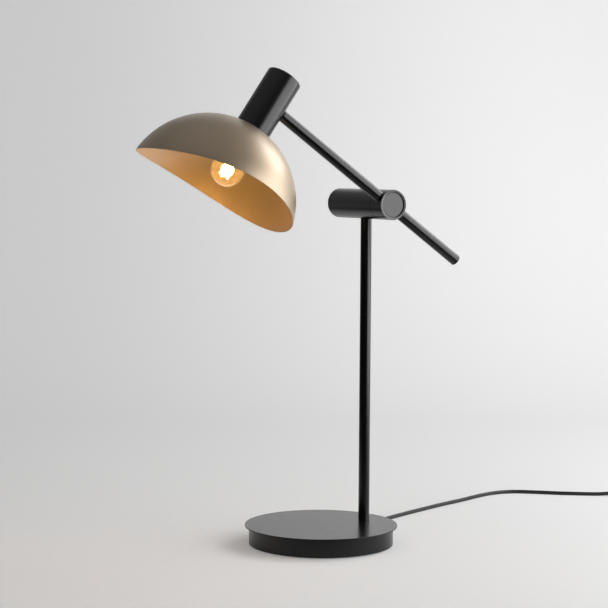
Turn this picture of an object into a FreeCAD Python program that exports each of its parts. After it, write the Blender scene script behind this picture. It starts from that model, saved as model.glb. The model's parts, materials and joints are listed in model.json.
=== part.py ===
"""Dome shade desk lamp: round weighted base, pole, tilting arm with a swivelling head, and a mains cord.

Frame: +Z up, origin at the middle of the base's underside, the arm in a plane across Y, the head towards -X.
Lengths are millimetres and angles are degrees.
"""

import FreeCAD, Part
import math
import os
import Sketcher

V = FreeCAD.Vector

# The driving sizes, one cell each, in the order in which the lamp is put together.
SIZES = {
    # base
    "base_dia": 220, "base_height": 29, "plate_thick": 2, "plate_chamfer": 0.4,
    "drum_dia": 208, "drum_wall": 1.6, "foot_dia": 196, "foot_thick": 1.5,
    "bottom_thick": 2.2, "weight_thick": 13, "weight_gap": 2.4, "boss_dia": 14, "boss_radius": 80,
    "screw_dia": 4, "screw_head_dia": 7.5, "screw_grip": 4, "nut_well_dia": 34, "nut_well_depth": 7,
    # cord outlet
    "cord_dia": 6, "lead_dia": 5, "outlet_angle": 30, "outlet_height": 8.5, "gland_length": 28,
    "gland_flange_dia": 13, "gland_flange_thick": 2.5, "gland_root_dia": 11, "gland_tip_dia": 8,
    "gland_neck_dia": 8.8, "gland_collar_dia": 9.4, "gland_collar_thick": 2,
    "clamp_length": 10, "clamp_width": 20, "clamp_inset": 22, "clamp_lift": 0.7, "clamp_screw_dia": 3,
    "clamp_screw_offset": 6, "clamp_screw_head": 5.6, "clamp_screw_head_thick": 2, "clamp_screw_grip": 5,
    # pole and its fixing
    "pole_offset": 73, "pole_dia": 16, "pole_wall": 1.5, "pole_bush_length": 14,
    "thread_dia": 10, "thread_bore": 6.4, "thread_end": 2, "nut_flats": 15, "nut_thick": 4,
    "washer_dia": 28, "washer_thick": 1,
    # tilt joint
    "pivot_height": 490, "barrel_dia": 43, "barrel_wall": 2.4, "barrel_length": 144,
    "arm_inset": 12.5, "joint_head_length": 27.7, "seam_gap": 0.3, "spigot_dia": 35, "spigot_length": 4,
    "friction_thick": 2, "bulkhead_thick": 6, "spring_washer_dia": 22, "spring_washer_thick": 1.8,
    "spindle_tail": 2.3, "joint_nut_thick": 5, "joint_nut_gap": 0.2, "barrel_lead_hole": 9,
    "cap_dia": 37, "cap_thick": 1, "cap_recess": 2, "cap_ledge": 0.8, "cap_ledge_length": 3,
    "set_screw_dia": 5, "set_screw_recess": 0.4, "set_screw_key": 2.5, "set_screw_key_depth": 2.5,
    # arm
    "arm_angle": 35, "arm_dia": 16, "arm_wall": 1.5, "arm_reach": 240, "arm_tail": 142,
    "tail_cap_thick": 1.5, "tail_plug_length": 8, "arm_bush_length": 12, "stud_length": 27, "stud_inset": 10,
    "arm_gap": 0.3,
    # head
    "head_dia": 50, "head_wall": 1.5, "head_rise": 45, "head_round": 3, "saddle_dia": 22, "saddle_depth": 5.5,
    "head_washer_thick": 1, "bracket_drop": 12, "bracket_thick": 2, "holder_nipple_length": 17,
    "holder_dia": 26, "holder_neck_dia": 28, "holder_flange_dia": 38, "holder_flange_thick": 2,
    "holder_bore": 20, "holder_floor": 48, "holder_floor_thick": 4, "holder_rim": 79, "sleeve_low": 74,
    "sleeve_dia": 15.8, "sleeve_wall": 0.7, "contact_dia": 8, "contact_thick": 1.2, "contact_spring_dia": 3,
    "ring_dia": 42, "ring_depth": 8,
    # shade
    "shade_dia": 236, "shade_wall": 1, "shade_drop": 160, "shade_hole_dia": 29,
    "rim_cut_radius": 400, "rim_cut_shift": 38, "rim_cut_rise": 35,
    # bulb
    "bulb_dia": 45, "bulb_drop": 109, "bulb_glass_wall": 0.7, "bulb_neck_dia": 17, "bulb_neck_top": 80,
    "bulb_shoulder_dia": 26, "bulb_cap_dia": 13.8, "bulb_cap_top": 56, "bulb_contact_dia": 5,
    "bulb_contact_height": 1.5, "stem_flare_dia": 12, "stem_flare_height": 6, "stem_dia": 6, "stem_end": 96,
    "filament_dia": 1.4, "filament_length": 24, "filament_ring": 4, "filament_lean": 12,
    # fits
    "running_gap": 0.05, "clear_gap": 0.2,
    # inline switch
    "switch_length": 62, "switch_width": 27, "switch_height": 17, "switch_wall": 1.6, "switch_round": 4,
    "switch_split": 0.1, "rocker_width": 9, "rocker_radius": 8.2, "rocker_top": 3.4, "rocker_half": 7,
    "rocker_tilt": 7, "rocker_base": 2.2, "rocker_depth": 4, "rocker_gap": 0.4, "rocker_pin_dia": 2,
    "cheek_thick": 1.6, "cheek_depth": 6, "cheek_half": 4, "switch_edge": 1.5, "cord_height": 8.5,
    "switch_screw_dia": 2.4, "switch_screw_head": 4.2, "switch_screw_head_thick": 1.5,
    "switch_screw_sink": 1.8, "switch_screw_offset": 23, "switch_screw_grip": 4.5, "switch_post_dia": 6,
    # plug
    "plug_length": 38, "plug_width": 35.2, "plug_thick": 13.8, "plug_tail_width": 12, "plug_shoulder": 21,
    "plug_tail_length": 8, "plug_round": 3, "plug_relief_length": 22, "plug_relief_dia": 8, "plug_relief_tip": 7,
    "pin_dia": 4, "pin_length": 19, "pin_spacing": 18.6, "pin_seat": 8, "pin_neck_dia": 3.2, "pin_neck_gap": 0.5,
    "plug_axis_height": 7,
    # coil
    "coil_length": 988, "coil_turns": 5, "coil_pitch": 6.6,
}

doc = FreeCAD.newDocument("DomeShadeLamp")
sheet = doc.addObject("Spreadsheet::Sheet", "Sizes")
for row, (alias, size) in enumerate(SIZES.items(), 1):
    sheet.set(f"A{row}", alias)
    sheet.set(f"B{row}", str(size))
    sheet.setAlias(f"B{row}", alias)
doc.recompute()


class Dim:
    """A length with its value and the sheet expression that gives it."""

    def __init__(self, value, text):
        self.value = float(value)
        self.text = text

    def __add__(self, other):
        other = dim(other)
        return Dim(self.value + other.value, f"({self.text} + {other.text})")

    def __sub__(self, other):
        other = dim(other)
        return Dim(self.value - other.value, f"({self.text} - {other.text})")

    def __mul__(self, other):
        other = dim(other)
        return Dim(self.value * other.value, f"({self.text} * {other.text})")

    def __truediv__(self, other):
        other = dim(other)
        return Dim(self.value / other.value, f"({self.text} / {other.text})")

    def __radd__(self, other):
        return dim(other) + self

    def __rsub__(self, other):
        return dim(other) - self

    def __rmul__(self, other):
        return dim(other) * self

    def __neg__(self):
        return Dim(-self.value, f"(0 - {self.text})")

    def __float__(self):
        return self.value


def dim(number):
    return number if isinstance(number, Dim) else Dim(number, f"({number})")


def root(square):
    return Dim(math.sqrt(square.value), f"sqrt({square.text})")


def sine(angle):
    return Dim(math.sin(math.radians(angle.value)), f"sin({angle.text})")


def cosine(angle):
    return Dim(math.cos(math.radians(angle.value)), f"cos({angle.text})")


def leg(hypotenuse, other_leg):
    return root(hypotenuse * hypotenuse - other_leg * other_leg)


class Cells:
    """Each driving size as a Dim, under its own name."""


S = Cells()
for alias, size in SIZES.items():
    setattr(S, alias, Dim(size, f"Sizes.{alias}"))


class Frame:
    """Where a group of pieces stands: an origin, and one turn about an axis."""

    def __init__(self, x, y, z, turn_axis=V(0, 0, 1), turn=0):
        self.origin = (dim(x), dim(y), dim(z))
        self.turn_axis = turn_axis
        self.turn = dim(turn)

    def placement(self):
        base = V(*(part.value for part in self.origin))
        return FreeCAD.Placement(base, FreeCAD.Rotation(self.turn_axis, self.turn.value))

    def hold(self, piece):
        piece.Placement = self.placement()
        for letter, part in zip("xyz", self.origin):
            piece.setExpression(f"Placement.Base.{letter}", part.text)
        if self.turn.value:
            piece.setExpression("Placement.Rotation.Angle", self.turn.text)


class Arc:
    """The end of an outline's edge that is an arc: turn is 1 to the left, -1 to the right."""

    def __init__(self, x, y, radius, turn):
        self.point = (x, y)
        self.radius = dim(radius)
        self.turn = turn


pieces = []


def keep(piece, label, frame):
    piece.Label = label
    frame.hold(piece)
    pieces.append(piece)
    return piece


def new_body(label, frame):
    body = doc.addObject("PartDesign::Body", label)
    return keep(body, label, frame)


def sketch_on(body, plane, lift=0, spin=0):
    """A sketch on one of the body's own planes, moved along its normal or its upright, and turned in itself."""
    sketch = body.newObject("Sketcher::SketchObject", body.Name + "_sketch")
    origin_plane = next(f for f in body.Origin.OriginFeatures if f.Role == plane)
    sketch.AttachmentSupport = (origin_plane, [""])
    sketch.MapMode = "FlatFace"
    lift, spin = dim(lift), dim(spin)
    upright = "z" if plane == "XY_Plane" else "y"
    shift = V(0, 0, lift.value) if upright == "z" else V(0, lift.value, 0)
    sketch.AttachmentOffset = FreeCAD.Placement(shift, FreeCAD.Rotation(V(0, 0, 1), spin.value))
    if lift.value:
        sketch.setExpression(f"AttachmentOffset.Base.{upright}", lift.text)
    if spin.value:
        sketch.setExpression("AttachmentOffset.Rotation.Angle", spin.text)
    return sketch


def bind(sketch, kind, *where):
    """Add a constraint whose last argument is a Dim, and tie it to the sheet."""
    *where, size = where
    size = dim(size)
    index = sketch.addConstraint(Sketcher.Constraint(kind, *where, size.value))
    sketch.setExpression(f"Constraints[{index}]", size.text)


def pin_point(sketch, edge, end, x, y):
    bind(sketch, "DistanceX", -1, 1, edge, end, x)
    bind(sketch, "DistanceY", -1, 1, edge, end, y)


def arc_edge(start, end, radius, turn):
    middle = (start + end) / 2
    along = end - start
    off = math.sqrt(max(radius ** 2 - (along.Length / 2) ** 2, 0))
    centre = middle + V(-along.y, along.x, 0).normalize() * off * turn
    first, last = (start, end) if turn > 0 else (end, start)
    angles = [math.atan2(p.y - centre.y, p.x - centre.x) for p in (first, last)]
    return Part.ArcOfCircle(Part.Circle(centre, V(0, 0, 1), radius), *angles)


def outline(sketch, corners):
    """Draw a closed outline through corners, each (x, y) or an Arc that ends the edge before it."""
    offset = sketch.GeometryCount
    places = [c.point if isinstance(c, Arc) else c for c in corners]
    spots = [V(dim(x).value, dim(y).value, 0) for x, y in places]
    count = len(corners)
    starts, ends = [], []
    for i in range(count):
        following = corners[(i + 1) % count]
        start, end = spots[i], spots[(i + 1) % count]
        if isinstance(following, Arc):
            sketch.addGeometry(arc_edge(start, end, following.radius.value, following.turn))
            starts.append(1 if following.turn > 0 else 2)
        else:
            sketch.addGeometry(Part.LineSegment(start, end))
            starts.append(1)
        ends.append(3 - starts[-1])
    for i in range(count):
        following = (i + 1) % count
        joint = Sketcher.Constraint("Coincident", offset + i, ends[i], offset + following, starts[following])
        sketch.addConstraint(joint)
    for i in range(count):
        pin_point(sketch, offset + i, starts[i], *places[i])
        following = corners[(i + 1) % count]
        if isinstance(following, Arc):
            bind(sketch, "Radius", offset + i, following.radius)


def ring_outline(sketch, x, y, diameter):
    index = sketch.addGeometry(Part.Circle(V(dim(x).value, dim(y).value, 0), V(0, 0, 1), dim(diameter).value / 2))
    pin_point(sketch, index, 3, x, y)
    bind(sketch, "Diameter", index, diameter)


def lathe(axis, corners):
    """A body turned about an axis, from an outline of (radius, place along the axis)."""
    body = doc.addObject("PartDesign::Body", "Turned")
    turn_profile(body, axis, corners)
    return body


def turned(label, frame, axis, corners):
    return keep(lathe(axis, corners), label, frame)


def turn_profile(body, axis, corners):
    sketch = sketch_on(body, "XZ_Plane" if axis == "Z" else "XY_Plane")
    if axis == "X":
        corners = [swapped(c) for c in corners]
    outline(sketch, corners)
    feature = body.newObject("PartDesign::Revolution", body.Name + "_turned")
    feature.Profile = sketch
    feature.ReferenceAxis = (sketch, ["H_Axis" if axis == "X" else "V_Axis"])
    feature.Angle = 360
    return feature


def swapped(corner):
    if isinstance(corner, Arc):
        return Arc(corner.point[1], corner.point[0], corner.radius, -corner.turn)
    return (corner[1], corner[0])


def ring(label, frame, axis, outer_dia, bore_dia, low, high):
    """A washer, bush or tube between two places along its axis."""
    outer, inner = dim(outer_dia) / 2, dim(bore_dia) / 2
    return turned(label, frame, axis, [(inner, low), (outer, low), (outer, high), (inner, high)])


def rod(label, frame, axis, dia, low, high):
    radius = dim(dia) / 2
    return turned(label, frame, axis, [(0, low), (radius, low), (radius, high), (0, high)])


def pad(body, plane, draw, length, lift=0, side="One side", backwards=False, spin=0):
    sketch = sketch_on(body, plane, lift, spin)
    draw(sketch)
    return grown(body, "PartDesign::Pad", sketch, length, side, backwards)


def pocket(body, plane, draw, length, lift=0, side="One side", backwards=False):
    """Cut with what draw() puts on a sketch, and make sure that something went."""
    before = body.Shape.Volume
    sketch = sketch_on(body, plane, lift)
    draw(sketch)
    feature = grown(body, "PartDesign::Pocket", sketch, length, side, backwards)
    assert body.Shape.Volume < before - 1e-3, f"{body.Label}: a pocket cut nothing"
    return feature


def grown(body, kind, sketch, length, side, backwards):
    feature = body.newObject(kind, body.Name + "_step")
    feature.Profile = sketch
    feature.SideType = side
    feature.Reversed = backwards
    feature.Length = dim(length).value
    feature.setExpression("Length", dim(length).text)
    doc.recompute()
    return feature


def softened(body, feature, radius, chosen=lambda edge: True):
    """Round the feature's edges that are chosen."""
    names = [f"Edge{i}" for i, edge in enumerate(feature.Shape.Edges, 1) if chosen(edge)]
    assert names, f"{body.Label}: no edge to round"
    fillet = body.newObject("PartDesign::Fillet", body.Name + "_round")
    fillet.Base = (feature, names)
    fillet.Radius = dim(radius).value
    fillet.setExpression("Radius", dim(radius).text)
    doc.recompute()
    return fillet


def drawing(*parts):
    """What a sketch holds: outlines as lists of corners, and circles as (x, y, diameter)."""
    def draw(sketch):
        for part in parts:
            if isinstance(part, list):
                outline(sketch, part)
            else:
                ring_outline(sketch, *part)
    return draw


def rectangle(x0, y0, x1, y1):
    return [(x0, y0), (x1, y0), (x1, y1), (x0, y1)]


def rounded(half_x, half_y, radius):
    """A rectangle about the origin with round corners, walked to the left."""
    inner_x, inner_y = half_x - radius, half_y - radius
    return [
        (inner_x, -half_y), Arc(half_x, -inner_y, radius, 1),
        (half_x, inner_y), Arc(inner_x, half_y, radius, 1),
        (-inner_x, half_y), Arc(-half_x, inner_y, radius, 1),
        (-half_x, -inner_y), Arc(-inner_x, -half_y, radius, 1),
    ]


AXIS_TURN = {
    "X": FreeCAD.Rotation(V(0, 1, 0), 90),
    "Y": FreeCAD.Rotation(V(1, 0, 0), -90),
    "Z": FreeCAD.Rotation(),
}


def solid(kind, axis="Z", x=0, y=0, z=0, **sizes):
    """A Part primitive along an axis, with each size bound to the sheet."""
    thing = doc.addObject("Part::" + kind, kind)
    thing.Placement = FreeCAD.Placement(V(*(dim(p).value for p in (x, y, z))), AXIS_TURN[axis])
    for letter, part in zip("xyz", (x, y, z)):
        thing.setExpression(f"Placement.Base.{letter}", dim(part).text)
    for name, size in sizes.items():
        setattr(thing, name, dim(size).value)
        thing.setExpression(name, dim(size).text)
    return thing


def combined(kind, first, second):
    thing = doc.addObject("Part::" + kind, kind)
    thing.Base, thing.Tool = first, second
    return thing


def joined(*things):
    thing = doc.addObject("Part::MultiFuse", "Joined")
    thing.Shapes = list(things)
    return thing


def bundle(things, frame=None):
    compound = doc.addObject("Part::Compound", "Bundle")
    compound.Links = list(things)
    if frame:
        frame.hold(compound)
    return compound


def cut(label, frame, blank, *tools):
    """The blank less each tool, as a piece of the lamp."""
    return keep(combined("Cut", blank, bundle(tools)), label, frame)


def group(label, frame, things):
    """Separate solids that share one node."""
    return keep(bundle(things), label, frame)


def hex_nut(axis, low, thick, **place):
    """A hexagon nut on the thread, from low along its axis."""
    place[axis.lower()] = low
    prism = solid("Prism", axis, **place, Circumradius=S.nut_flats / math.sqrt(3), Height=thick)
    bore = solid("Cylinder", axis, **place, Radius=S.thread_dia / 2, Height=thick)
    return combined("Cut", prism, bore)


def smooth_path(points, bends=None):
    """Straight runs joined by tangent arcs, of the given bends or as wide as the two runs allow."""
    edges, here, radii = [], points[0], []
    for i, (before, corner, after) in enumerate(zip(points, points[1:], points[2:])):
        inward, outward = corner - before, after - corner
        half_turn = inward.getAngle(outward) / 2
        reach = bends[i] * math.tan(half_turn) if bends else 0.45 * min(inward.Length, outward.Length)
        radius = reach / math.tan(half_turn)
        radii.append(radius)
        inward.normalize()
        outward.normalize()
        enter, leave = corner - inward * reach, corner + outward * reach
        to_corner = (inward - outward).normalize()
        middle = corner - to_corner * (radius / math.cos(half_turn) - radius)
        edges.append(Part.LineSegment(here, enter).toShape())
        edges.append(Part.Arc(enter, middle, leave).toShape())
        here = leave
    edges.append(Part.LineSegment(here, points[-1]).toShape())
    return Part.Wire(edges), radii


def tube_along(path, diameter):
    """One solid round tube swept along a path, checked against its section times its length."""
    start = path.OrderedEdges[0]
    heading = start.tangentAt(start.FirstParameter)
    section = Part.Wire([Part.Circle(start.valueAt(start.FirstParameter), heading, diameter / 2).toShape()])
    tube = path.makePipeShell([section], True, False)
    expected = math.pi * diameter ** 2 / 4 * path.Length
    assert abs(tube.Volume / expected - 1) < 0.01, "a swept tube has the wrong volume"
    return tube


def swept(label, path, diameter, frame=Frame(0, 0, 0)):
    piece = doc.addObject("Part::Feature", label)
    piece.Shape = tube_along(path, diameter)
    return keep(piece, label, frame)


# ---------------------------------------------------------------------------------------------------------
# The frames that the lamp's groups of pieces stand in.
base = Frame(0, 0, 0)
pole = Frame(S.pole_offset, 0, 0)
joint = Frame(S.pole_offset, 0, S.pivot_height)
arm_side = S.arm_inset - S.barrel_length / 2
arm = Frame(S.pole_offset, arm_side, S.pivot_height, V(0, 1, 0), S.arm_angle)
head = Frame(
    S.pole_offset - S.arm_reach * cosine(S.arm_angle), arm_side,
    S.pivot_height + S.arm_reach * sine(S.arm_angle), V(0, 1, 0), S.arm_angle)
outlet = Frame(
    S.drum_dia / 2 * cosine(S.outlet_angle), S.drum_dia / 2 * sine(S.outlet_angle), S.outlet_height,
    V(0, 0, 1), S.outlet_angle)

# ---------------------------------------------------------------------------------------------------------
# Base: a thin top disc on a drum pressed as an upturned pan, with an iron weight, a plate and a felt foot.
drum_top = S.base_height - S.plate_thick
drum_inner = S.drum_dia / 2 - S.drum_wall
weight_top = drum_top - S.drum_wall
weight_low = weight_top - S.weight_thick
bottom_top = S.foot_thick + S.bottom_thick
screw_tip = weight_low + S.screw_grip
screw_radius = S.screw_dia / 2
thread_radius = S.thread_dia / 2
thread_hole = thread_radius + S.clear_gap
cover_radius = S.base_dia / 2
boss_spots = [
    {"x": S.boss_radius * cosine(dim(angle)), "y": S.boss_radius * sine(dim(angle))}
    for angle in (90, 210, 330)]


def countersink(spot):
    return solid(
        "Cone", **spot, z=S.foot_thick, Radius1=S.screw_head_dia / 2, Radius2=screw_radius,
        Height=S.bottom_thick)


def countersunk_screw(spot):
    shank = solid("Cylinder", **spot, z=bottom_top, Radius=screw_radius, Height=screw_tip - bottom_top)
    return joined(countersink(spot), shank)


rod("foot_pad", base, "Z", S.foot_dia, 0, S.foot_thick)

bottom_disc = solid(
    "Cylinder", z=S.foot_thick, Radius=drum_inner - S.clear_gap, Height=S.bottom_thick)
cut("bottom_plate", base, bottom_disc, *[countersink(spot) for spot in boss_spots])

group("base_screws", base, [countersunk_screw(spot) for spot in boss_spots])

drum_pan = lathe("Z", [
    (0, weight_top), (drum_inner, weight_top), (drum_inner, S.foot_thick),
    (S.drum_dia / 2, S.foot_thick), (S.drum_dia / 2, drum_top), (0, drum_top)])
nipple_hole = solid("Cylinder", x=S.pole_offset, Radius=thread_hole, Height=S.base_height)
gland_hole = solid(
    "Cylinder", "X", x=-2 * S.gland_neck_dia, Radius=S.gland_neck_dia / 2 + S.clear_gap / 2,
    Height=4 * S.gland_neck_dia)
cut("base_drum", base, drum_pan, nipple_hole, bundle([gland_hole], outlet))

base_disc = lathe("Z", [
    (0, drum_top), (cover_radius, drum_top), (cover_radius, S.base_height - S.plate_chamfer),
    (cover_radius - S.plate_chamfer, S.base_height), (0, S.base_height)])
disc_hole = solid("Cylinder", x=S.pole_offset, Radius=thread_hole, Height=2 * S.base_height)
cut("base_plate", base, base_disc, disc_hole)

# The weight has three bosses for the screws, a well under the pole for its nut, and a hole for the clamp.
well_top = weight_low + S.nut_well_depth
clamp_screw_tip = weight_low + S.clamp_screw_grip
weight_blank = joined(
    solid("Cylinder", z=weight_low, Radius=drum_inner - S.weight_gap, Height=S.weight_thick),
    *[solid("Cylinder", **spot, z=bottom_top, Radius=S.boss_dia / 2, Height=weight_low - bottom_top)
      for spot in boss_spots])
clamp_screw_hole = solid(
    "Cylinder", x=-S.clamp_inset, y=S.clamp_screw_offset, z=weight_low - S.outlet_height,
    Radius=S.clamp_screw_dia / 2, Height=S.clamp_screw_grip)
cut(
    "base_weight", base, weight_blank,
    solid("Cylinder", x=S.pole_offset, Radius=thread_hole, Height=S.base_height),
    solid("Cylinder", x=S.pole_offset, z=weight_low, Radius=S.nut_well_dia / 2, Height=S.nut_well_depth),
    *[solid("Cylinder", **spot, z=bottom_top, Radius=screw_radius, Height=screw_tip - bottom_top)
      for spot in boss_spots],
    bundle([clamp_screw_hole], outlet))

# Cord outlet: a rubber gland through the drum's skirt and a clamp block under the weight.
collar_end = -(S.drum_wall + S.clear_gap)
lead_radius = S.lead_dia / 2
turned("cord_gland", outlet, "X", [
    (lead_radius, collar_end - S.gland_collar_thick), (S.gland_collar_dia / 2, collar_end - S.gland_collar_thick),
    (S.gland_collar_dia / 2, collar_end), (S.gland_neck_dia / 2, collar_end), (S.gland_neck_dia / 2, 0),
    (S.gland_flange_dia / 2, 0), (S.gland_flange_dia / 2, S.gland_flange_thick),
    (S.gland_root_dia / 2, S.gland_flange_thick), (S.gland_tip_dia / 2, S.gland_length),
    (lead_radius, S.gland_length)])

clamp_low = bottom_top + S.clamp_lift - S.outlet_height
clamp_high = weight_low - S.outlet_height
clamp_block = solid(
    "Box", x=-S.clamp_inset - S.clamp_length / 2, y=-S.clamp_width / 2, z=clamp_low,
    Length=S.clamp_length, Width=S.clamp_width, Height=clamp_high - clamp_low)
clamp_screw_spot = {"x": -S.clamp_inset, "y": S.clamp_screw_offset}


def clamp_screw():
    head_disc = solid(
        "Cylinder", **clamp_screw_spot, z=clamp_low, Radius=S.clamp_screw_head / 2,
        Height=S.clamp_screw_head_thick)
    shank = solid(
        "Cylinder", **clamp_screw_spot, z=clamp_low + S.clamp_screw_head_thick, Radius=S.clamp_screw_dia / 2,
        Height=clamp_screw_tip - S.outlet_height - clamp_low - S.clamp_screw_head_thick)
    return joined(head_disc, shank)


clamp_bore = solid(
    "Cylinder", "X", x=-2 * S.clamp_inset, Radius=lead_radius, Height=3 * S.clamp_inset)
cut("cord_clamp", outlet, clamp_block, clamp_bore, clamp_screw())
group("cord_clamp_screw", outlet, [clamp_screw()])

# ---------------------------------------------------------------------------------------------------------
# Pole: a tube standing on the top disc, drawn down by a hollow threaded nipple that also carries the lead.
nut_low = well_top - S.washer_thick - S.nut_thick
nipple_low = nut_low - S.clear_gap * 2
nipple_top = S.base_height + S.pole_bush_length - S.thread_end
ring("pole_nipple", pole, "Z", S.thread_dia, S.thread_bore, nipple_low, nipple_top)
group("pole_nut", pole, [hex_nut("Z", nut_low, S.nut_thick)])
ring("pole_washer", pole, "Z", S.washer_dia, 2 * thread_hole, well_top - S.washer_thick, well_top)
pole_inner = S.pole_dia - 2 * S.pole_wall
ring("pole_bush", pole, "Z", pole_inner, S.thread_dia, S.base_height, S.base_height + S.pole_bush_length)

# The pole's upper end is cut to the round of the barrel that it carries.
barrel_radius = S.barrel_dia / 2
pole_end = S.pivot_height - leg(barrel_radius, S.pole_dia / 2)
pole_rod = solid("Cylinder", z=S.base_height, Radius=S.pole_dia / 2, Height=pole_end - S.base_height)
pole_bore = solid("Cylinder", Radius=pole_inner / 2, Height=S.pivot_height)
barrel_cut = solid(
    "Cylinder", "Y", y=-S.pole_dia, z=S.pivot_height, Radius=barrel_radius, Height=2 * S.pole_dia)
cut("pole_tube", pole, pole_rod, pole_bore, barrel_cut)

# ---------------------------------------------------------------------------------------------------------
# Barrel: a turned housing across the pole. Its front end, past a fine seam, is the head that turns the arm.
front = -S.barrel_length / 2
rear = S.barrel_length / 2
head_end = front + S.joint_head_length
housing_end = head_end + S.seam_gap
washer_front = head_end + S.spigot_length
bulkhead_front = washer_front + S.friction_thick
bulkhead_rear = bulkhead_front + S.bulkhead_thick
cap_seat = S.cap_dia / 2 + S.clear_gap / 2
cap_floor = S.cap_recess + S.cap_thick
spindle_hole = thread_radius + S.running_gap
bearing_radius = S.spigot_dia / 2 + S.running_gap
bore_radius = barrel_radius - S.barrel_wall
housing = lathe("Y", [
    (bearing_radius, housing_end), (barrel_radius, housing_end), (barrel_radius, rear), (cap_seat, rear),
    (cap_seat, rear - cap_floor), (cap_seat - S.cap_ledge, rear - cap_floor),
    (cap_seat - S.cap_ledge, rear - cap_floor - S.cap_ledge_length),
    (bore_radius, rear - cap_floor - S.cap_ledge_length), (bore_radius, bulkhead_rear),
    (spindle_hole, bulkhead_rear), (spindle_hole, bulkhead_front), (bearing_radius, bulkhead_front)])
barrel_lead_hole = solid(
    "Cylinder", z=-S.barrel_dia, Radius=S.barrel_lead_hole / 2, Height=S.barrel_dia)
cut("barrel_housing", joint, housing, barrel_lead_hole)
rod("barrel_rear_cap", joint, "Y", S.cap_dia, rear - cap_floor, rear - S.cap_recess)
ring("friction_washer", joint, "Y", S.spigot_dia - S.clear_gap, 2 * spindle_hole, washer_front, bulkhead_front)

# ---------------------------------------------------------------------------------------------------------
# Arm: the turning head of the barrel, its hollow spindle with two locked nuts, and the tube through it.
# The arm's own frame has +X from the lamp head to the tail and +Y into the barrel.
spigot_face = washer_front - arm_side
bulkhead_back = bulkhead_rear - arm_side
nuts_start = bulkhead_back + S.spring_washer_thick
second_nut = nuts_start + S.joint_nut_thick + S.joint_nut_gap
spindle_end = second_nut + S.joint_nut_thick + S.spindle_tail
spindle_start = S.arm_dia / 2 + S.clear_gap
arm_radius = S.arm_dia / 2
arm_inner = arm_radius - S.arm_wall
lead_hole_radius = S.thread_bore / 2
joint_blank = lathe("Y", [
    (0, cap_floor - S.arm_inset), (cap_seat, cap_floor - S.arm_inset), (cap_seat, -S.arm_inset),
    (barrel_radius, -S.arm_inset), (barrel_radius, head_end - arm_side), (S.spigot_dia / 2, head_end - arm_side),
    (S.spigot_dia / 2, spigot_face), (thread_radius, spigot_face), (thread_radius, spindle_start),
    (0, spindle_start)])
cross_bore = solid(
    "Cylinder", "X", x=-S.barrel_dia, Radius=arm_radius + S.running_gap, Height=2 * S.barrel_dia)
set_screw_hole = solid("Cylinder", z=-S.barrel_dia, Radius=S.set_screw_dia / 2, Height=S.barrel_dia - arm_radius)
head_lead_hole = solid("Cylinder", "Y", Radius=lead_hole_radius, Height=spindle_start)
cut("joint_head", arm, joint_blank, cross_bore, set_screw_hole, head_lead_hole)
rod("joint_cap", arm, "Y", S.cap_dia, S.cap_recess - S.arm_inset, cap_floor - S.arm_inset)

ring("joint_spindle", arm, "Y", S.thread_dia, S.thread_bore, spindle_start, spindle_end)
ring("spring_washer", arm, "Y", S.spring_washer_dia, 2 * spindle_hole, bulkhead_back, nuts_start)
group("spindle_nuts", arm, [
    hex_nut("Y", nuts_start, S.joint_nut_thick), hex_nut("Y", second_nut, S.joint_nut_thick)])

set_screw_low = S.set_screw_recess - barrel_radius
set_screw_rod = solid(
    "Cylinder", z=set_screw_low, Radius=S.set_screw_dia / 2, Height=-arm_radius - set_screw_low)
set_screw_key = solid(
    "Prism", z=set_screw_low, Circumradius=S.set_screw_key / math.sqrt(3), Height=S.set_screw_key_depth)
cut("arm_set_screw", arm, set_screw_rod, set_screw_key)

arm_front = -(S.arm_reach - S.head_dia / 2 - S.arm_gap)
tube_rear = S.arm_tail - S.tail_cap_thick
arm_length = tube_rear - arm_front
arm_rod = solid("Cylinder", "X", x=arm_front, Radius=arm_radius, Height=arm_length)
arm_bore = solid("Cylinder", "X", x=arm_front, Radius=arm_inner, Height=arm_length)
arm_lead_hole = solid("Cylinder", "Y", Radius=lead_hole_radius, Height=S.arm_dia)
cut("arm_tube", arm, arm_rod, arm_bore, arm_lead_hole)
tail_plug_radius = arm_inner - S.clear_gap / 2
turned("arm_tail_cap", arm, "X", [
    (0, tube_rear - S.tail_plug_length), (tail_plug_radius, tube_rear - S.tail_plug_length),
    (tail_plug_radius, tube_rear), (arm_radius, tube_rear), (arm_radius, S.arm_tail), (0, S.arm_tail)])

# The stud at the arm's lamp end is the swivel that the head hangs on.
stud_front = -(S.arm_reach - S.stud_inset)
saddle_flat = S.head_dia / 2 - S.head_wall - S.saddle_depth
washer_flat = saddle_flat - S.head_washer_thick
ring("arm_bush", arm, "X", 2 * arm_inner, S.thread_dia, arm_front, arm_front + S.arm_bush_length)
ring("head_stud", arm, "X", S.thread_dia, S.thread_bore, stud_front, stud_front + S.stud_length)
group("head_stud_nut", arm, [hex_nut("X", washer_flat - S.nut_thick - S.arm_reach, S.nut_thick)])

# ---------------------------------------------------------------------------------------------------------
# Head: a deep cup with the lampholder on a bracket inside, in a frame with +Z up the cup's own axis.
head_radius = S.head_dia / 2
head_inner = head_radius - S.head_wall
shade_radius = S.shade_dia / 2
shade_inner = shade_radius - S.shade_wall
shell_low = leg(shade_radius, head_inner) - S.shade_drop
round_start = head_radius - S.head_round
inner_round = S.head_round - S.head_wall
shell_blank = lathe("Z", [
    (0, S.head_rise - S.head_wall), (round_start, S.head_rise - S.head_wall),
    Arc(head_inner, S.head_rise - S.head_round, inner_round, -1), (head_inner, shell_low),
    (head_radius, shell_low), (head_radius, S.head_rise - S.head_round),
    Arc(round_start, S.head_rise, S.head_round, 1), (0, S.head_rise)])
stud_hole = solid("Cylinder", "X", x=washer_flat, Radius=spindle_hole, Height=S.head_dia)
cut("head_shell", head, shell_blank, stud_hole)

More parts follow.
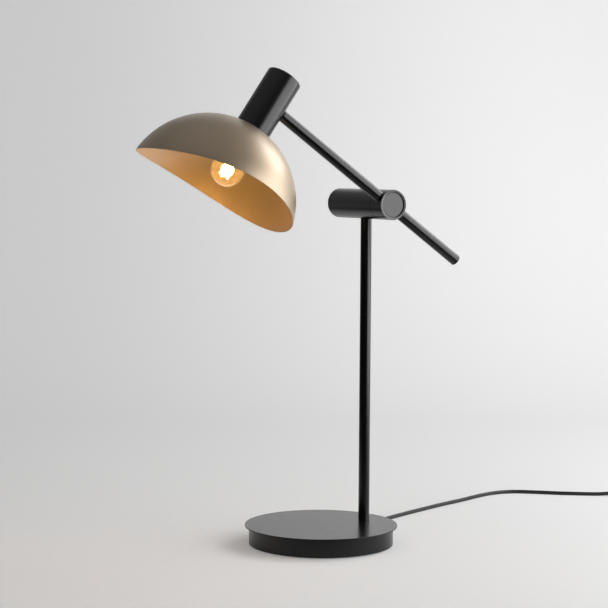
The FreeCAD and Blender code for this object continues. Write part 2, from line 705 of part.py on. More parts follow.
saddle_bar = solid(
    "Cylinder", "X", x=saddle_flat, Radius=S.saddle_dia / 2, Height=head_radius - saddle_flat)
saddle_round = solid("Cylinder", z=-S.saddle_dia, Radius=head_inner, Height=2 * S.saddle_dia)
saddle_hole = solid("Cylinder", "X", Radius=spindle_hole, Height=S.head_dia)
cut("head_saddle", head, combined("Common", saddle_bar, saddle_round), saddle_hole)
ring("head_washer", head, "X", S.saddle_dia, 2 * spindle_hole, washer_flat, saddle_flat)

bracket_low = -(S.bracket_drop + S.bracket_thick)
holder_nipple_top = S.nut_thick + S.thread_end - S.bracket_drop
ring("holder_bracket", head, "Z", 2 * head_inner, S.thread_dia, bracket_low, -S.bracket_drop)
ring(
    "holder_nipple", head, "Z", S.thread_dia, S.thread_bore, holder_nipple_top - S.holder_nipple_length,
    holder_nipple_top)
group("holder_nut", head, [hex_nut("Z", -S.bracket_drop, S.nut_thick)])

shade_hole = S.shade_hole_dia / 2
flange_low = leg(shade_radius, shade_hole) - S.shade_drop
flange_top = flange_low + S.holder_flange_thick
neck_radius = S.holder_neck_dia / 2
floor_top = S.holder_floor_thick - S.holder_floor
turned("lampholder_body", head, "Z", [
    (thread_radius, bracket_low), (S.holder_dia / 2, bracket_low), (S.holder_dia / 2, flange_top),
    (S.holder_flange_dia / 2, flange_top), (S.holder_flange_dia / 2, flange_low), (neck_radius, flange_low),
    (neck_radius, -S.holder_rim), (S.holder_bore / 2, -S.holder_rim), (S.holder_bore / 2, -S.holder_floor),
    (0, -S.holder_floor), (0, floor_top), (thread_radius, floor_top)])
ring(
    "lampholder_thread", head, "Z", S.sleeve_dia, S.sleeve_dia - 2 * S.sleeve_wall, -S.sleeve_low,
    -S.holder_floor)
cap_contact = S.bulb_contact_height - S.bulb_cap_top
contact_radius = S.contact_dia / 2
contact_low = -(S.holder_floor + S.contact_thick)
turned("lampholder_contact", head, "Z", [
    (0, cap_contact), (S.contact_spring_dia / 2, cap_contact), (S.contact_spring_dia / 2, contact_low),
    (contact_radius, contact_low), (contact_radius, -S.holder_floor), (0, -S.holder_floor)])
ring_top = leg(shade_inner, S.ring_dia / 2) - S.shade_drop
ring("shade_ring", head, "Z", S.ring_dia, S.holder_neck_dia, ring_top - S.ring_depth, ring_top)

# ---------------------------------------------------------------------------------------------------------
# Shade: a spun dome whose mouth is cut to a wide curve, so that its far and near sides stand higher.
shade_mid = -S.shade_drop
dome = lathe("Z", [
    Arc(shade_hole, leg(shade_inner, shade_hole) + shade_mid, shade_inner, 1), (shade_hole, flange_low),
    Arc(shade_radius, shade_mid, shade_radius, -1), (shade_inner, shade_mid)])
mouth_cut = solid(
    "Cylinder", "Y", x=S.rim_cut_shift, y=-S.shade_dia, z=shade_mid + S.rim_cut_rise - S.rim_cut_radius,
    Radius=S.rim_cut_radius, Height=2 * S.shade_dia)
cut("shade", head, dome, mouth_cut)

# ---------------------------------------------------------------------------------------------------------
# Bulb: a clear golf ball lamp with a screw cap, a glass stem and four leaning filaments.
globe_mid = -S.bulb_drop
globe_radius = S.bulb_dia / 2
globe_inner = globe_radius - S.bulb_glass_wall
neck_outer = S.bulb_neck_dia / 2
shoulder = S.bulb_shoulder_dia / 2
shoulder_inner = shoulder - S.bulb_glass_wall
turned("bulb_glass", head, "Z", [
    (neck_outer, -S.bulb_neck_top), (shoulder, leg(globe_radius, shoulder) + globe_mid),
    Arc(0, globe_mid - globe_radius, globe_radius, -1), (0, globe_mid - globe_inner),
    Arc(shoulder_inner, leg(globe_inner, shoulder_inner) + globe_mid, globe_inner, 1),
    (neck_outer - S.bulb_glass_wall, -S.bulb_neck_top)])
cap_radius = S.bulb_cap_dia / 2
tip_radius = S.bulb_contact_dia / 2
turned("bulb_cap", head, "Z", [
    (0, -S.bulb_neck_top), (cap_radius, -S.bulb_neck_top), (cap_radius, -S.bulb_cap_top - S.bulb_contact_height),
    (tip_radius, -S.bulb_cap_top), (tip_radius, cap_contact), (0, cap_contact)])
stem_radius = S.stem_dia / 2
turned("bulb_stem", head, "Z", [
    (0, -S.stem_end), (stem_radius, -S.stem_end), (stem_radius, -S.bulb_neck_top - S.stem_flare_height),
    (S.stem_flare_dia / 2, -S.bulb_neck_top), (0, -S.bulb_neck_top)])


def filament(turn):
    strip = solid(
        "Cylinder", x=S.filament_ring * cosine(dim(turn)), y=S.filament_ring * sine(dim(turn)),
        z=-(S.stem_end + S.clear_gap), Radius=S.filament_dia / 2, Height=S.filament_length)
    around = FreeCAD.Rotation(V(0, 0, 1), turn)
    lean = FreeCAD.Rotation(V(0, 1, 0), 180 - S.filament_lean.value)
    strip.Placement = FreeCAD.Placement(strip.Placement.Base, around.multiply(lean))
    return strip


group("bulb_filaments", head, [filament(turn) for turn in (0, 90, 180, 270)])

# ---------------------------------------------------------------------------------------------------------
# Lead inside the lamp, in three lengths that meet on the axes of the two joints.


def point(x, y, z):
    return V(*(dim(part).value for part in (x, y, z)))


gland_tip = S.drum_dia / 2 + S.gland_length
turn_in = S.drum_dia / 2 - S.clamp_inset - 1.6 * S.clamp_length


def outlet_point(radius, height):
    return point(radius * cosine(S.outlet_angle), radius * sine(S.outlet_angle), height)


base_lead, _ = smooth_path([
    outlet_point(gland_tip, S.outlet_height), outlet_point(turn_in, S.outlet_height),
    point(S.pole_offset, 0, S.outlet_height), point(S.pole_offset, 0, S.pivot_height),
    point(S.pole_offset, arm_side + spindle_end, S.pivot_height)], (8, 5, 8))
swept("lead_in_base", base_lead, S.lead_dia.value)
arm_lead, _ = smooth_path([point(0, spindle_end, 0), point(0, 0, 0), point(stud_front, 0, 0)], (6,))
swept("lead_in_arm", arm_lead, S.lead_dia.value, arm)
head_lead, _ = smooth_path([point(S.stud_inset, 0, 0), point(0, 0, 0), point(0, 0, floor_top)], (6,))
swept("lead_in_head", head_lead, S.lead_dia.value, head)

# ---------------------------------------------------------------------------------------------------------
# Mains cord: from the gland across the table to the inline switch, then a coil, and then the plug.
# A point of the route is its place on the table and how far the cord is lifted off it there.
CORD_TO_SWITCH = [
    (158, 90.5, 0.2), (188, 104.5, 0), (224, 120, 0), (272, 138.5, 0), (322, 157.5, 0), (372, 173, 0),
    (420, 192, 0), (459, 202, 0), (492, 197, 0), (522, 173, 0), (549, 147, 0), (580, 123, 0), (612, 103, 0),
    (642, 84, 5.5)]
SWITCH_START = (666, 69)
SWITCH_HEADING = dim(-32)
COIL_START = (763, -30, 0)
COIL_HEADING = -80.5
LINK_WAY = [(735.6, 25.5, 5.5), (751, 10.5, 2), (759.5, -9, 0)]
TAIL_RUNS = (14, 16, 14)
TAIL_TURNS = (0, 2.5, 5.5)
first_bend = outlet_point(gland_tip + S.gland_length * 0.8, S.outlet_height)


def ahead(start, heading, distance, height=None):
    turn = math.radians(heading)
    to = start + V(math.cos(turn), math.sin(turn), 0) * distance
    return V(to.x, to.y, start.z if height is None else height)


def lying(x, y, lift):
    return V(x, y, S.cord_dia.value / 2 + lift)


switch_start = V(*SWITCH_START, S.cord_height.value)
switch_end = ahead(switch_start, SWITCH_HEADING.value, S.switch_length.value)
coil_start = lying(*COIL_START)
lead_points = [outlet_point(gland_tip, S.outlet_height), first_bend]
lead_points += [lying(*place) for place in CORD_TO_SWITCH] + [switch_start]
lead_way, lead_bends = smooth_path(lead_points)
swept("cord_lead", lead_way, S.cord_dia.value)
link_way, link_bends = smooth_path([switch_end, *[lying(*place) for place in LINK_WAY], coil_start])
swept("cord_link", link_way, S.cord_dia.value)


def biarc(start, start_heading, end, end_heading):
    """Two tangent arcs from start to end that keep both headings."""
    chord = end - start
    both = start_heading + end_heading
    a = both.dot(both) - 4
    b = -2 * chord.dot(both)
    reach = (-b - math.sqrt(b * b - 4 * a * chord.dot(chord))) / (2 * a)
    reach = abs(reach)
    middle = (start + start_heading * reach + end - end_heading * reach) / 2
    return [tangent_arc(start, start_heading, middle), tangent_arc(end, end_heading * -1, middle)]


def tangent_arc(start, heading, end):
    chord = end - start
    half_turn = heading.getAngle(chord)
    side = (chord - heading * chord.dot(heading)).normalize()
    radius = chord.Length / 2 / math.sin(half_turn)
    middle = start + heading * (radius * math.sin(half_turn)) + side * (radius * (1 - math.cos(half_turn)))
    return Part.Arc(start, middle, end).toShape()


# The coil winds in on the table, climbs one layer in its innermost half turn, and winds out on top.
quarters = 4 * int(S.coil_turns.value)
coil_ends = S.cord_dia.value
coil_middle = (S.coil_length.value - 2 * coil_ends) / (2 * math.pi * S.coil_turns.value)
step = S.coil_pitch.value / 4
coil_outer = coil_middle + step * quarters / 4
coil_enter = ahead(coil_start, COIL_HEADING, coil_ends)
coil_centre = ahead(coil_enter, COIL_HEADING - 90, coil_outer)


def coil_station(quarter):
    """The place and the heading at a quarter turn."""
    half = quarters // 2
    radius = coil_outer - step * min(quarter, quarters - quarter)
    turn = math.radians(COIL_HEADING + 90 - 90 * quarter)
    climb = min(max((quarter - half + 1) / 2, 0), 1)
    place = coil_centre + V(math.cos(turn), math.sin(turn), 0) * radius
    slope = 2 * S.coil_pitch.value / (math.pi * radius) if quarter == half else 0
    heading = V(math.sin(turn), -math.cos(turn), slope).normalize()
    return V(place.x, place.y, coil_start.z + climb * S.coil_pitch.value), heading


coil_edges = [Part.LineSegment(coil_start, coil_enter).toShape()]
for quarter in range(quarters):
    coil_edges += biarc(*coil_station(quarter), *coil_station(quarter + 1))
coil_leave = coil_station(quarters)[0]
coil_end = ahead(coil_leave, COIL_HEADING, coil_ends)
coil_edges.append(Part.LineSegment(coil_leave, coil_end).toShape())
coil_way = Part.Wire(Part.__sortEdges__(coil_edges))
swept("cord_coil", coil_way, S.cord_dia.value)

# The tail leaves the coil's top layer and comes down to the plug.
plug_axis = S.plug_axis_height.value
tail_points = [coil_end]
for run, turn, height in zip(TAIL_RUNS, TAIL_TURNS, (None, plug_axis, plug_axis)):
    tail_points.append(ahead(tail_points[-1], COIL_HEADING - turn, run, height))
plug_heading = dim(COIL_HEADING - TAIL_TURNS[-1])
tail_way, tail_bends = smooth_path(tail_points)
swept("cord_tail", tail_way, S.cord_dia.value)
plug_start = tail_points[-1]

# ---------------------------------------------------------------------------------------------------------
# Inline switch: two moulded shells around a rocker on a steel pin, held by two screws from below.
half_length, half_width = S.switch_length / 2, S.switch_width / 2
switch_middle = ahead(switch_start, SWITCH_HEADING.value, half_length.value)
switch = Frame(switch_middle.x, switch_middle.y, 0, V(0, 0, 1), SWITCH_HEADING)
shell_split = S.cord_height - S.switch_split
shell_outline = rounded(half_length, half_width, S.switch_round)
shell_inner = rounded(
    half_length - S.switch_wall, half_width - S.switch_wall, S.switch_round - S.switch_wall)
cover_inside = S.switch_height - S.switch_wall
screw_spots = [-S.switch_screw_offset, S.switch_screw_offset]


def screw_circles(diameter):
    return drawing(*[(x, 0, diameter) for x in screw_spots])


switch_base = new_body("switch_base", switch)
pad(switch_base, "XY_Plane", drawing(shell_outline), shell_split)
pocket(switch_base, "XY_Plane", drawing(shell_inner), shell_split - S.switch_wall, shell_split)
pad(switch_base, "XY_Plane", screw_circles(S.switch_post_dia), shell_split - S.switch_wall, S.switch_wall)
pocket(switch_base, "XY_Plane", screw_circles(S.switch_screw_dia + S.clear_gap), shell_split, shell_split)
pocket(
    switch_base, "XY_Plane", screw_circles(S.switch_screw_head + S.clear_gap), S.switch_screw_sink, 0,
    backwards=True)

switch_cover = new_body("switch_cover", switch)
cover_block = pad(
    switch_cover, "XY_Plane", drawing(shell_outline), S.switch_height - S.cord_height, S.cord_height)
top_edges = S.switch_height.value - 1e-3
softened(switch_cover, cover_block, S.switch_edge, lambda edge: edge.BoundBox.ZMin > top_edges)
pocket(
    switch_cover, "XY_Plane", drawing(shell_inner), cover_inside - S.cord_height, S.cord_height,
    backwards=True)
pad(
    switch_cover, "XY_Plane", screw_circles(S.switch_post_dia), cover_inside - S.cord_height, S.cord_height)
pocket(
    switch_cover, "XY_Plane", screw_circles(S.switch_screw_dia), S.switch_screw_grip, S.cord_height,
    backwards=True)
window_half = S.rocker_width / 2 + S.rocker_gap
pocket(
    switch_cover, "XY_Plane",
    drawing(rectangle(-S.rocker_radius, -window_half, S.rocker_radius, window_half)), S.switch_wall * 2,
    S.switch_height)
pivot_lift = S.switch_height - S.rocker_depth
cheek_outer = window_half + S.cheek_thick
pad(
    switch_cover, "XY_Plane",
    drawing(rectangle(-S.cheek_half, -cheek_outer, S.cheek_half, -window_half),
            rectangle(-S.cheek_half, window_half, S.cheek_half, cheek_outer)),
    S.cheek_depth, cover_inside - S.cheek_depth)
pocket(
    switch_cover, "XZ_Plane", drawing((0, 0, S.rocker_pin_dia + 2 * S.running_gap)), 2 * cheek_outer,
    pivot_lift, side="Symmetric")

# The rocker's two wings meet at a shallow valley; it stands pressed down on one side.
wing_rise = S.rocker_top + S.rocker_half * sine(S.rocker_tilt) / cosine(S.rocker_tilt)
wing_radius = root(S.rocker_half * S.rocker_half + wing_rise * wing_rise)
sector_half = leg(wing_radius, S.rocker_base)
rocker_outline = [
    Arc(-sector_half, -S.rocker_base, wing_radius, 1), (sector_half, -S.rocker_base),
    Arc(S.rocker_half, wing_rise, wing_radius, 1), (0, S.rocker_top), (-S.rocker_half, wing_rise)]
rocker = new_body("switch_rocker", switch)
pad(
    rocker, "XZ_Plane", drawing(rocker_outline), S.rocker_width, pivot_lift, side="Symmetric",
    spin=S.rocker_tilt)
pocket(
    rocker, "XZ_Plane", drawing((0, 0, S.rocker_pin_dia)), 2 * S.rocker_width, pivot_lift,
    side="Symmetric")
group("rocker_pin", switch, [solid(
    "Cylinder", "Y", y=-cheek_outer, z=pivot_lift, Radius=S.rocker_pin_dia / 2, Height=2 * cheek_outer)])

screw_head_low = S.switch_screw_sink - S.switch_screw_head_thick
switch_screw_tip = S.cord_height + S.switch_screw_grip


def switch_screw(x):
    screw_head = solid(
        "Cylinder", x=x, z=screw_head_low, Radius=S.switch_screw_head / 2, Height=S.switch_screw_head_thick)
    shank = solid(
        "Cylinder", x=x, z=S.switch_screw_sink, Radius=S.switch_screw_dia / 2,
        Height=switch_screw_tip - S.switch_screw_sink)
    return joined(screw_head, shank)


group("switch_screws", switch, [switch_screw(x) for x in screw_spots])

# ---------------------------------------------------------------------------------------------------------
# Plug: a flat moulded two-pin body with its strain relief, lying on its wide side.
plug = Frame(plug_start.x, plug_start.y, S.plug_axis_height, V(0, 0, 1), plug_heading)
plug_face = S.plug_relief_length + S.plug_length
plug_wide = S.plug_width / 2
plug_narrow = S.plug_tail_width / 2
tail_end = S.plug_relief_length + S.plug_tail_length
shoulder_start = plug_face - S.plug_shoulder
plug_blank = doc.addObject("PartDesign::Body", "Moulding")
plug_block = pad(plug_blank, "XY_Plane", drawing([
    (S.plug_relief_length, -plug_narrow), (tail_end, -plug_narrow), (shoulder_start, -plug_wide),
    (plug_face, -plug_wide), (plug_face, plug_wide), (shoulder_start, plug_wide), (tail_end, plug_narrow),
    (S.plug_relief_length, plug_narrow)]), S.plug_thick, side="Symmetric")
softened(plug_blank, plug_block, S.plug_round)
turn_profile(plug_blank, "X", [
    (0, 0), (S.plug_relief_tip / 2, 0), (S.plug_relief_dia / 2, tail_end), (0, tail_end)])
pin_spots = [-S.pin_spacing / 2, S.pin_spacing / 2]
pin_start = plug_face - S.pin_seat
neck_length = S.pin_seat + S.pin_neck_gap
pin_radius = S.pin_dia / 2
tip_centre = plug_face + S.pin_length - pin_radius


def pin_neck(side):
    """The thinner neck on which a pin is moulded into the plug."""
    return solid("Cylinder", "X", x=pin_start, y=side, Radius=S.pin_neck_dia / 2, Height=neck_length)


def plug_pin(side):
    shank_start = pin_start + neck_length
    shank = solid("Cylinder", "X", x=shank_start, y=side, Radius=pin_radius, Height=tip_centre - shank_start)
    return joined(pin_neck(side), shank, solid("Sphere", x=tip_centre, y=side, Radius=pin_radius))


cut("plug_body", plug, plug_blank, *[pin_neck(side) for side in pin_spots])


group("plug_pins", plug, [plug_pin(side) for side in pin_spots])

# ---------------------------------------------------------------------------------------------------------
# Checks of the whole, and one file for each piece.
doc.recompute()
for item in doc.Objects:
    assert "Invalid" not in item.State and "Touched" not in item.State, f"{item.Label}: {item.State}"
    if item.TypeId == "Sketcher::SketchObject":
        assert item.FullyConstrained, f"{item.Label} is not fully constrained"
names = [piece.Label for piece in pieces]
assert len(set(names)) == len(names), "two pieces share a name"
os.makedirs("parts", exist_ok=True)
for piece in pieces:
    shape = piece.Shape
    assert shape.isValid() and shape.Solids, f"{piece.Label} has no valid solid"
    shape.exportStep(f"parts/{piece.Label}.step")
    box = shape.optimalBoundingBox(False)
    assert box.ZMin > -1e-3, f"{piece.Label} reaches below the table"
    print(
        f"{piece.Label:20s} {len(shape.Solids)} solid  {shape.Volume / 1000:9.3f} cm3  "
        f"x {box.XMin:8.2f} {box.XMax:8.2f}  y {box.YMin:8.2f} {box.YMax:8.2f}  "
        f"z {box.ZMin:8.2f} {box.ZMax:8.2f}")

# The cord's bends, the coil's least gap to itself, and the lengths.
for name, bends in (("cord_lead", lead_bends), ("cord_link", link_bends), ("cord_tail", tail_bends)):
    print(name, "bend radii", [round(bend, 1) for bend in bends])
coil_points = coil_way.discretize(Number=1500)
spacing = coil_way.Length / 1499
near = int(3 * S.cord_dia.value / spacing)
coil_gap = min(
    coil_points[i].distanceToPoint(coil_points[j])
    for i in range(0, 1500, 2) for j in range(i + near, 1500, 2)) - S.cord_dia.value
print(f"coil least gap {coil_gap:.3f}")
lengths = [way.Length for way in (lead_way, link_way, coil_way, tail_way)]
print("cord lengths", [round(length, 1) for length in lengths], "total",
      round(sum(lengths) + S.switch_length.value, 1))
print(len(pieces), "pieces")
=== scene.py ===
import json
import math

import bmesh
import bpy
from mathutils import Matrix, Vector

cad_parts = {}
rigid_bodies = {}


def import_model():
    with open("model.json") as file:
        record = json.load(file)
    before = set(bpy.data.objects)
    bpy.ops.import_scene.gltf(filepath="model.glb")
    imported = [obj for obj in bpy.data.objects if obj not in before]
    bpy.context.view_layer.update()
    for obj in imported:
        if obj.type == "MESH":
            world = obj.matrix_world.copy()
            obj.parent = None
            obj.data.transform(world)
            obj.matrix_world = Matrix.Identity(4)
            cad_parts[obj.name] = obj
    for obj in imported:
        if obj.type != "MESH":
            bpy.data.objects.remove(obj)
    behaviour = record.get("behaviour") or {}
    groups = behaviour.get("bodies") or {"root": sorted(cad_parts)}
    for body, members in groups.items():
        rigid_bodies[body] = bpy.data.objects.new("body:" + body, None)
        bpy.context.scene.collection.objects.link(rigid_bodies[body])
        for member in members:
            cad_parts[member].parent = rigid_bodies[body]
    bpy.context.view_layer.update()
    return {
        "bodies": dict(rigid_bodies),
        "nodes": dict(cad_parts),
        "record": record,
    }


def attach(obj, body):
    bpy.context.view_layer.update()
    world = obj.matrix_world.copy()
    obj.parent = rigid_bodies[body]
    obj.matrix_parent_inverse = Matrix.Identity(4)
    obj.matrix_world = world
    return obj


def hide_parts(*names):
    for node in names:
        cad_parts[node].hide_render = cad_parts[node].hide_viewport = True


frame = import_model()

# ---------------------------------------------------------------------------------------------------------
# Base: a thin sheet steel disc on a deep-drawn drum, both powder coated satin black, over a pad of wool
# felt. The disc's edge is only broken, not rounded, so it catches a fine line of light.
MM = 0.001
BASE_RADIUS, BASE_TOP, PLATE_LOW = 110, 29, 27
DRUM_RADIUS, DRUM_LOW, DRUM_WALL, DRUM_HOLE = 104, 1.5, 1.6, 12
FELT_RADIUS = 98
WIDE_STEPS, TUBE_STEPS = 192, 96


def paint(code):
    """An sRGB hex colour as linear RGBA."""
    parts = (int(code[i:i + 2], 16) / 255 for i in (0, 2, 4))
    return *(p / 12.92 if p <= 0.04045 else ((p + 0.055) / 1.055) ** 2.4 for p in parts), 1


def add(tree, kind, inputs=(), **settings):
    """One node, with its settings; each input takes a value, a socket or another node's first output."""
    node = tree.nodes.new(kind)
    for name, value in settings.items():
        setattr(node, name, value)
    for name, value in dict(inputs).items():
        if isinstance(value, bpy.types.Node):
            value = value.outputs[0]
        if isinstance(value, bpy.types.NodeSocket):
            tree.links.new(value, node.inputs[name])
        else:
            node.inputs[name].default_value = value
    return node


def blank(name):
    """A new material with nothing in its node tree."""
    material = bpy.data.materials.new(name)
    material.use_nodes = True
    material.node_tree.nodes.clear()
    return material


def finish(name, shader_inputs):
    """A new material with one Principled shader; shader_inputs(tree, spot) gives its inputs."""
    material = blank(name)
    tree = material.node_tree
    spot = add(tree, "ShaderNodeTexCoord").outputs["Object"]
    shader = add(tree, "ShaderNodeBsdfPrincipled", shader_inputs(tree, spot))
    add(tree, "ShaderNodeOutputMaterial", {"Surface": shader})
    return material


def worn(tree, spot, size_mm, low, high, **noise):
    """A value that wanders from low to high over patches of that size."""
    patches = add(tree, "ShaderNodeTexNoise", {"Vector": spot, "Scale": 1 / (size_mm * MM), **noise})
    return add(tree, "ShaderNodeMapRange", {
        "Value": patches, "From Min": 0.3, "From Max": 0.7, "To Min": low, "To Max": high})


def tooth(tree, spot, size_mm, depth_mm, **noise):
    """A relief of small bumps of that size and depth."""
    bumps = add(tree, "ShaderNodeTexNoise", {"Vector": spot, "Scale": 1 / (size_mm * MM), **noise})
    return add(tree, "ShaderNodeBump", {"Height": bumps, "Distance": depth_mm * MM})


# Satin black powder coat, a thick baked film: deep black with soft, broad reflections that turn bright
# where the eye grazes it. Its orange peel is 1.4 mm across and barely shows.
PEEL_MM = 1.4


def coat_inputs(tree, spot):
    peel = add(tree, "ShaderNodeTexNoise", {"Vector": spot, "Scale": 1 / (PEEL_MM * MM), "Detail": 2})
    tone = add(tree, "ShaderNodeMix", {
        "Factor": peel, 6: paint("0b0b0c"), 7: paint("101011")}, data_type="RGBA")
    return {
        "Base Color": tone.outputs[2], "Roughness": worn(tree, spot, 14, 0.22, 0.25), "IOR": 1.58,
        "Normal": tooth(tree, spot, PEEL_MM, 0.0008, Detail=2)}


powder_coat = finish("satin_black_powder_coat", coat_inputs)


def turned(name, outline, body, material, place=Matrix(), soften=0.0, steps=128, keen=0.5):
    """A piece turned about its place's upright axis, from an outline of (radius, height) in mm."""
    bm = bmesh.new()
    corners = [bm.verts.new((radius * MM, 0, height * MM)) for radius, height in outline]
    sides = [bm.edges.new(pair) for pair in zip(corners, corners[1:])]
    if outline[0][0] > 0 or outline[-1][0] > 0:
        sides.append(bm.edges.new((corners[-1], corners[0])))
    bmesh.ops.spin(
        bm, geom=[*corners, *sides], cent=(0, 0, 0), axis=(0, 0, 1), angle=2 * math.pi, steps=steps,
        use_merge=True)
    bmesh.ops.remove_doubles(bm, verts=bm.verts, dist=1e-6)
    return shaped(name, bm, body, material, place, soften, keen)


def shaped(name, bm, body, material, place=Matrix(), soften=0.0, keen=0.5):
    """The bmesh as a piece of the lamp: edges keener than that many radians softened, and put in place."""
    bmesh.ops.recalc_face_normals(bm, faces=bm.faces)
    if soften:
        keen_edges = [e for e in bm.edges if e.is_manifold and e.calc_face_angle(0) > keen]
        bmesh.ops.bevel(
            bm, geom=keen_edges, offset=soften * MM, segments=3, profile=0.5, affect="EDGES", material=-1,
            clamp_overlap=True)
    mesh = bpy.data.meshes.new(name)
    bm.to_mesh(mesh)
    bm.free()
    mesh.transform(place)
    mesh.shade_smooth()
    mesh.materials.append(material)
    piece = bpy.data.objects.new(name, mesh)
    bpy.context.collection.objects.link(piece)
    flatten = piece.modifiers.new("flat faces stay flat", "WEIGHTED_NORMAL")
    flatten.keep_sharp = True
    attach(piece, body)
    return piece


base_disc = turned(
    "base_disc", [(0, PLATE_LOW), (BASE_RADIUS, PLATE_LOW), (BASE_RADIUS, BASE_TOP), (0, BASE_TOP)],
    "base", powder_coat, soften=0.45, steps=WIDE_STEPS)
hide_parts("base_plate")
drum_inner = DRUM_RADIUS - DRUM_WALL
base_drum = turned(
    "base_drum_shell", [
        (DRUM_RADIUS, DRUM_LOW), (DRUM_RADIUS, PLATE_LOW), (DRUM_HOLE, PLATE_LOW),
        (DRUM_HOLE, PLATE_LOW - DRUM_WALL), (drum_inner, PLATE_LOW - DRUM_WALL), (drum_inner, DRUM_LOW)],
    "base", powder_coat, soften=0.5, steps=WIDE_STEPS)
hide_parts("base_drum")


# Pressed wool felt: dull charcoal, with fibres that stand a little way out and catch side light.
def felt_inputs(tree, spot):
    fibres = add(tree, "ShaderNodeTexNoise", {
        "Vector": spot, "Scale": 1 / (0.7 * MM), "Detail": 6, "Roughness": 0.8})
    tone = add(tree, "ShaderNodeMix", {
        "Factor": fibres, 6: paint("1c1c1e"), 7: paint("3a3a3c")}, data_type="RGBA")
    return {
        "Base Color": tone.outputs[2], "Roughness": 1.0, "Sheen Weight": 0.4, "Sheen Roughness": 0.5,
        "Normal": tooth(tree, spot, 0.7, 0.3, Detail=6, Roughness=0.8)}


felt = finish("pressed_felt", felt_inputs)
foot = turned(
    "felt_foot", [(0, 0), (FELT_RADIUS, 0), (FELT_RADIUS, DRUM_LOW), (0, DRUM_LOW)], "base", felt, soften=0.4)
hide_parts("foot_pad")

# ---------------------------------------------------------------------------------------------------------
# Pole: a 16 mm steel tube, coated with the base and standing straight on its disc. A nipple and a nut
# under the disc hold it.
POLE_X, POLE_RADIUS, POLE_TOP = 73, 8, 472
pole = turned(
    "pole", [(0, BASE_TOP), (POLE_RADIUS, BASE_TOP), (POLE_RADIUS, POLE_TOP), (0, POLE_TOP)], "base",
    powder_coat, Matrix.Translation((POLE_X * MM, 0, 0)), soften=0.3, steps=TUBE_STEPS)
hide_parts("pole_tube")

# ---------------------------------------------------------------------------------------------------------
# Barrel: a turned steel housing across the top of the pole, coated like it. A disc is pressed into the
# recess at its rear, and its bore at the front takes the spigot of the joint's head.
PIVOT_HEIGHT, BARREL_RADIUS, BARREL_FRONT, BARREL_REAR = 490, 21.5, -44, 72
BORE_RADIUS, BORE_END = 17.55, -40
REAR_RECESS_RADIUS, REAR_RECESS_FLOOR = 18.6, 68.5
REAR_DISC_RADIUS, REAR_DISC_INSIDE, REAR_DISC_FACE = 18.5, 69, 70
ALONG_X, ALONG_Y = Matrix.Rotation(math.radians(90), 4, "Y"), Matrix.Rotation(math.radians(-90), 4, "X")
barrel_place = Matrix.Translation((POLE_X * MM, 0, PIVOT_HEIGHT * MM)) @ ALONG_Y
housing = turned(
    "barrel", [
        (0, BORE_END), (BORE_RADIUS, BORE_END), (BORE_RADIUS, BARREL_FRONT), (BARREL_RADIUS, BARREL_FRONT),
        (BARREL_RADIUS, BARREL_REAR), (REAR_RECESS_RADIUS, BARREL_REAR),
        (REAR_RECESS_RADIUS, REAR_RECESS_FLOOR), (0, REAR_RECESS_FLOOR)],
    "base", powder_coat, barrel_place, soften=0.5)
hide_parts("barrel_housing")
rear_disc = turned(
    "barrel_rear_disc", [
        (0, REAR_DISC_INSIDE), (REAR_DISC_RADIUS, REAR_DISC_INSIDE), (REAR_DISC_RADIUS, REAR_DISC_FACE),
        (0, REAR_DISC_FACE)],
    "base", powder_coat, barrel_place, soften=0.25)
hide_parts("barrel_rear_cap")

# ---------------------------------------------------------------------------------------------------------
# Joint head and arm: the barrel's front end turns on the spindle, with a hair-fine seam behind it. The
# 16 mm arm tube runs through it, held by a set screw, and a thin disc closes the recess in its face.
ARM_SIDE, ARM_ANGLE = -59.5, math.radians(35)
LIP_RADIUS, LIP_FRONT, LIP_INSIDE, LIP_OUTSIDE = 20.6, -12.5, -11.7, -11.9
# The lip's painted highlight covers its front, outside this radius and in front of this height.
LIP_HIGHLIGHT_RADIUS, LIP_HIGHLIGHT_FRONT = 18.3, -11.4
RECESS_RADIUS, RECESS_FLOOR, DISC_RADIUS, DISC_FRONT = 18.2, -9.5, 17.3, -10.3
SEAM, SPIGOT_RADIUS, SPIGOT_END = 15.2, 17.5, 19.2
ARM_FRONT, ARM_TAIL, ARM_RADIUS, ARM_BORE = -214.7, 142, 8, 5
TUBE_END, CAP_PLUG_START, CAP_PLUG_RADIUS = 140.5, 132.5, 6.4
arm_place = Matrix.Translation(Vector((POLE_X, ARM_SIDE, PIVOT_HEIGHT)) * MM) @ Matrix.Rotation(
    ARM_ANGLE, 4, "Y")
joint_place = arm_place @ ALONG_Y


# The disc has the same powder coat in dark grey, which sets it off from the black. The grey is partly a
# painted reflection of the key light.
def grey_coat_inputs(tree, spot):
    return {**coat_inputs(tree, spot), "Base Color": paint("464647")}


# The lip round the disc is painted a lighter grey with a smoother coat: a painted highlight for the light
# line the key light draws along it.
def lip_highlight_coat_inputs(tree, spot):
    return {
        **coat_inputs(tree, spot), "Base Color": paint("6e6e70"), "Roughness": worn(tree, spot, 3, 0.2, 0.3)}


grey_coat = finish("satin_grey_powder_coat", grey_coat_inputs)
lip_highlight_coat = finish("lip_painted_highlight_coat", lip_highlight_coat_inputs)
joint_head = turned(
    "joint_head_shell", [
        (0, RECESS_FLOOR), (RECESS_RADIUS, RECESS_FLOOR), (RECESS_RADIUS, LIP_INSIDE),
        (LIP_RADIUS, LIP_FRONT), (BARREL_RADIUS, LIP_OUTSIDE), (BARREL_RADIUS, SEAM),
        (SPIGOT_RADIUS, SEAM), (SPIGOT_RADIUS, SPIGOT_END), (0, SPIGOT_END)],
    "arm", powder_coat, joint_place, soften=0.2, keen=0.3)
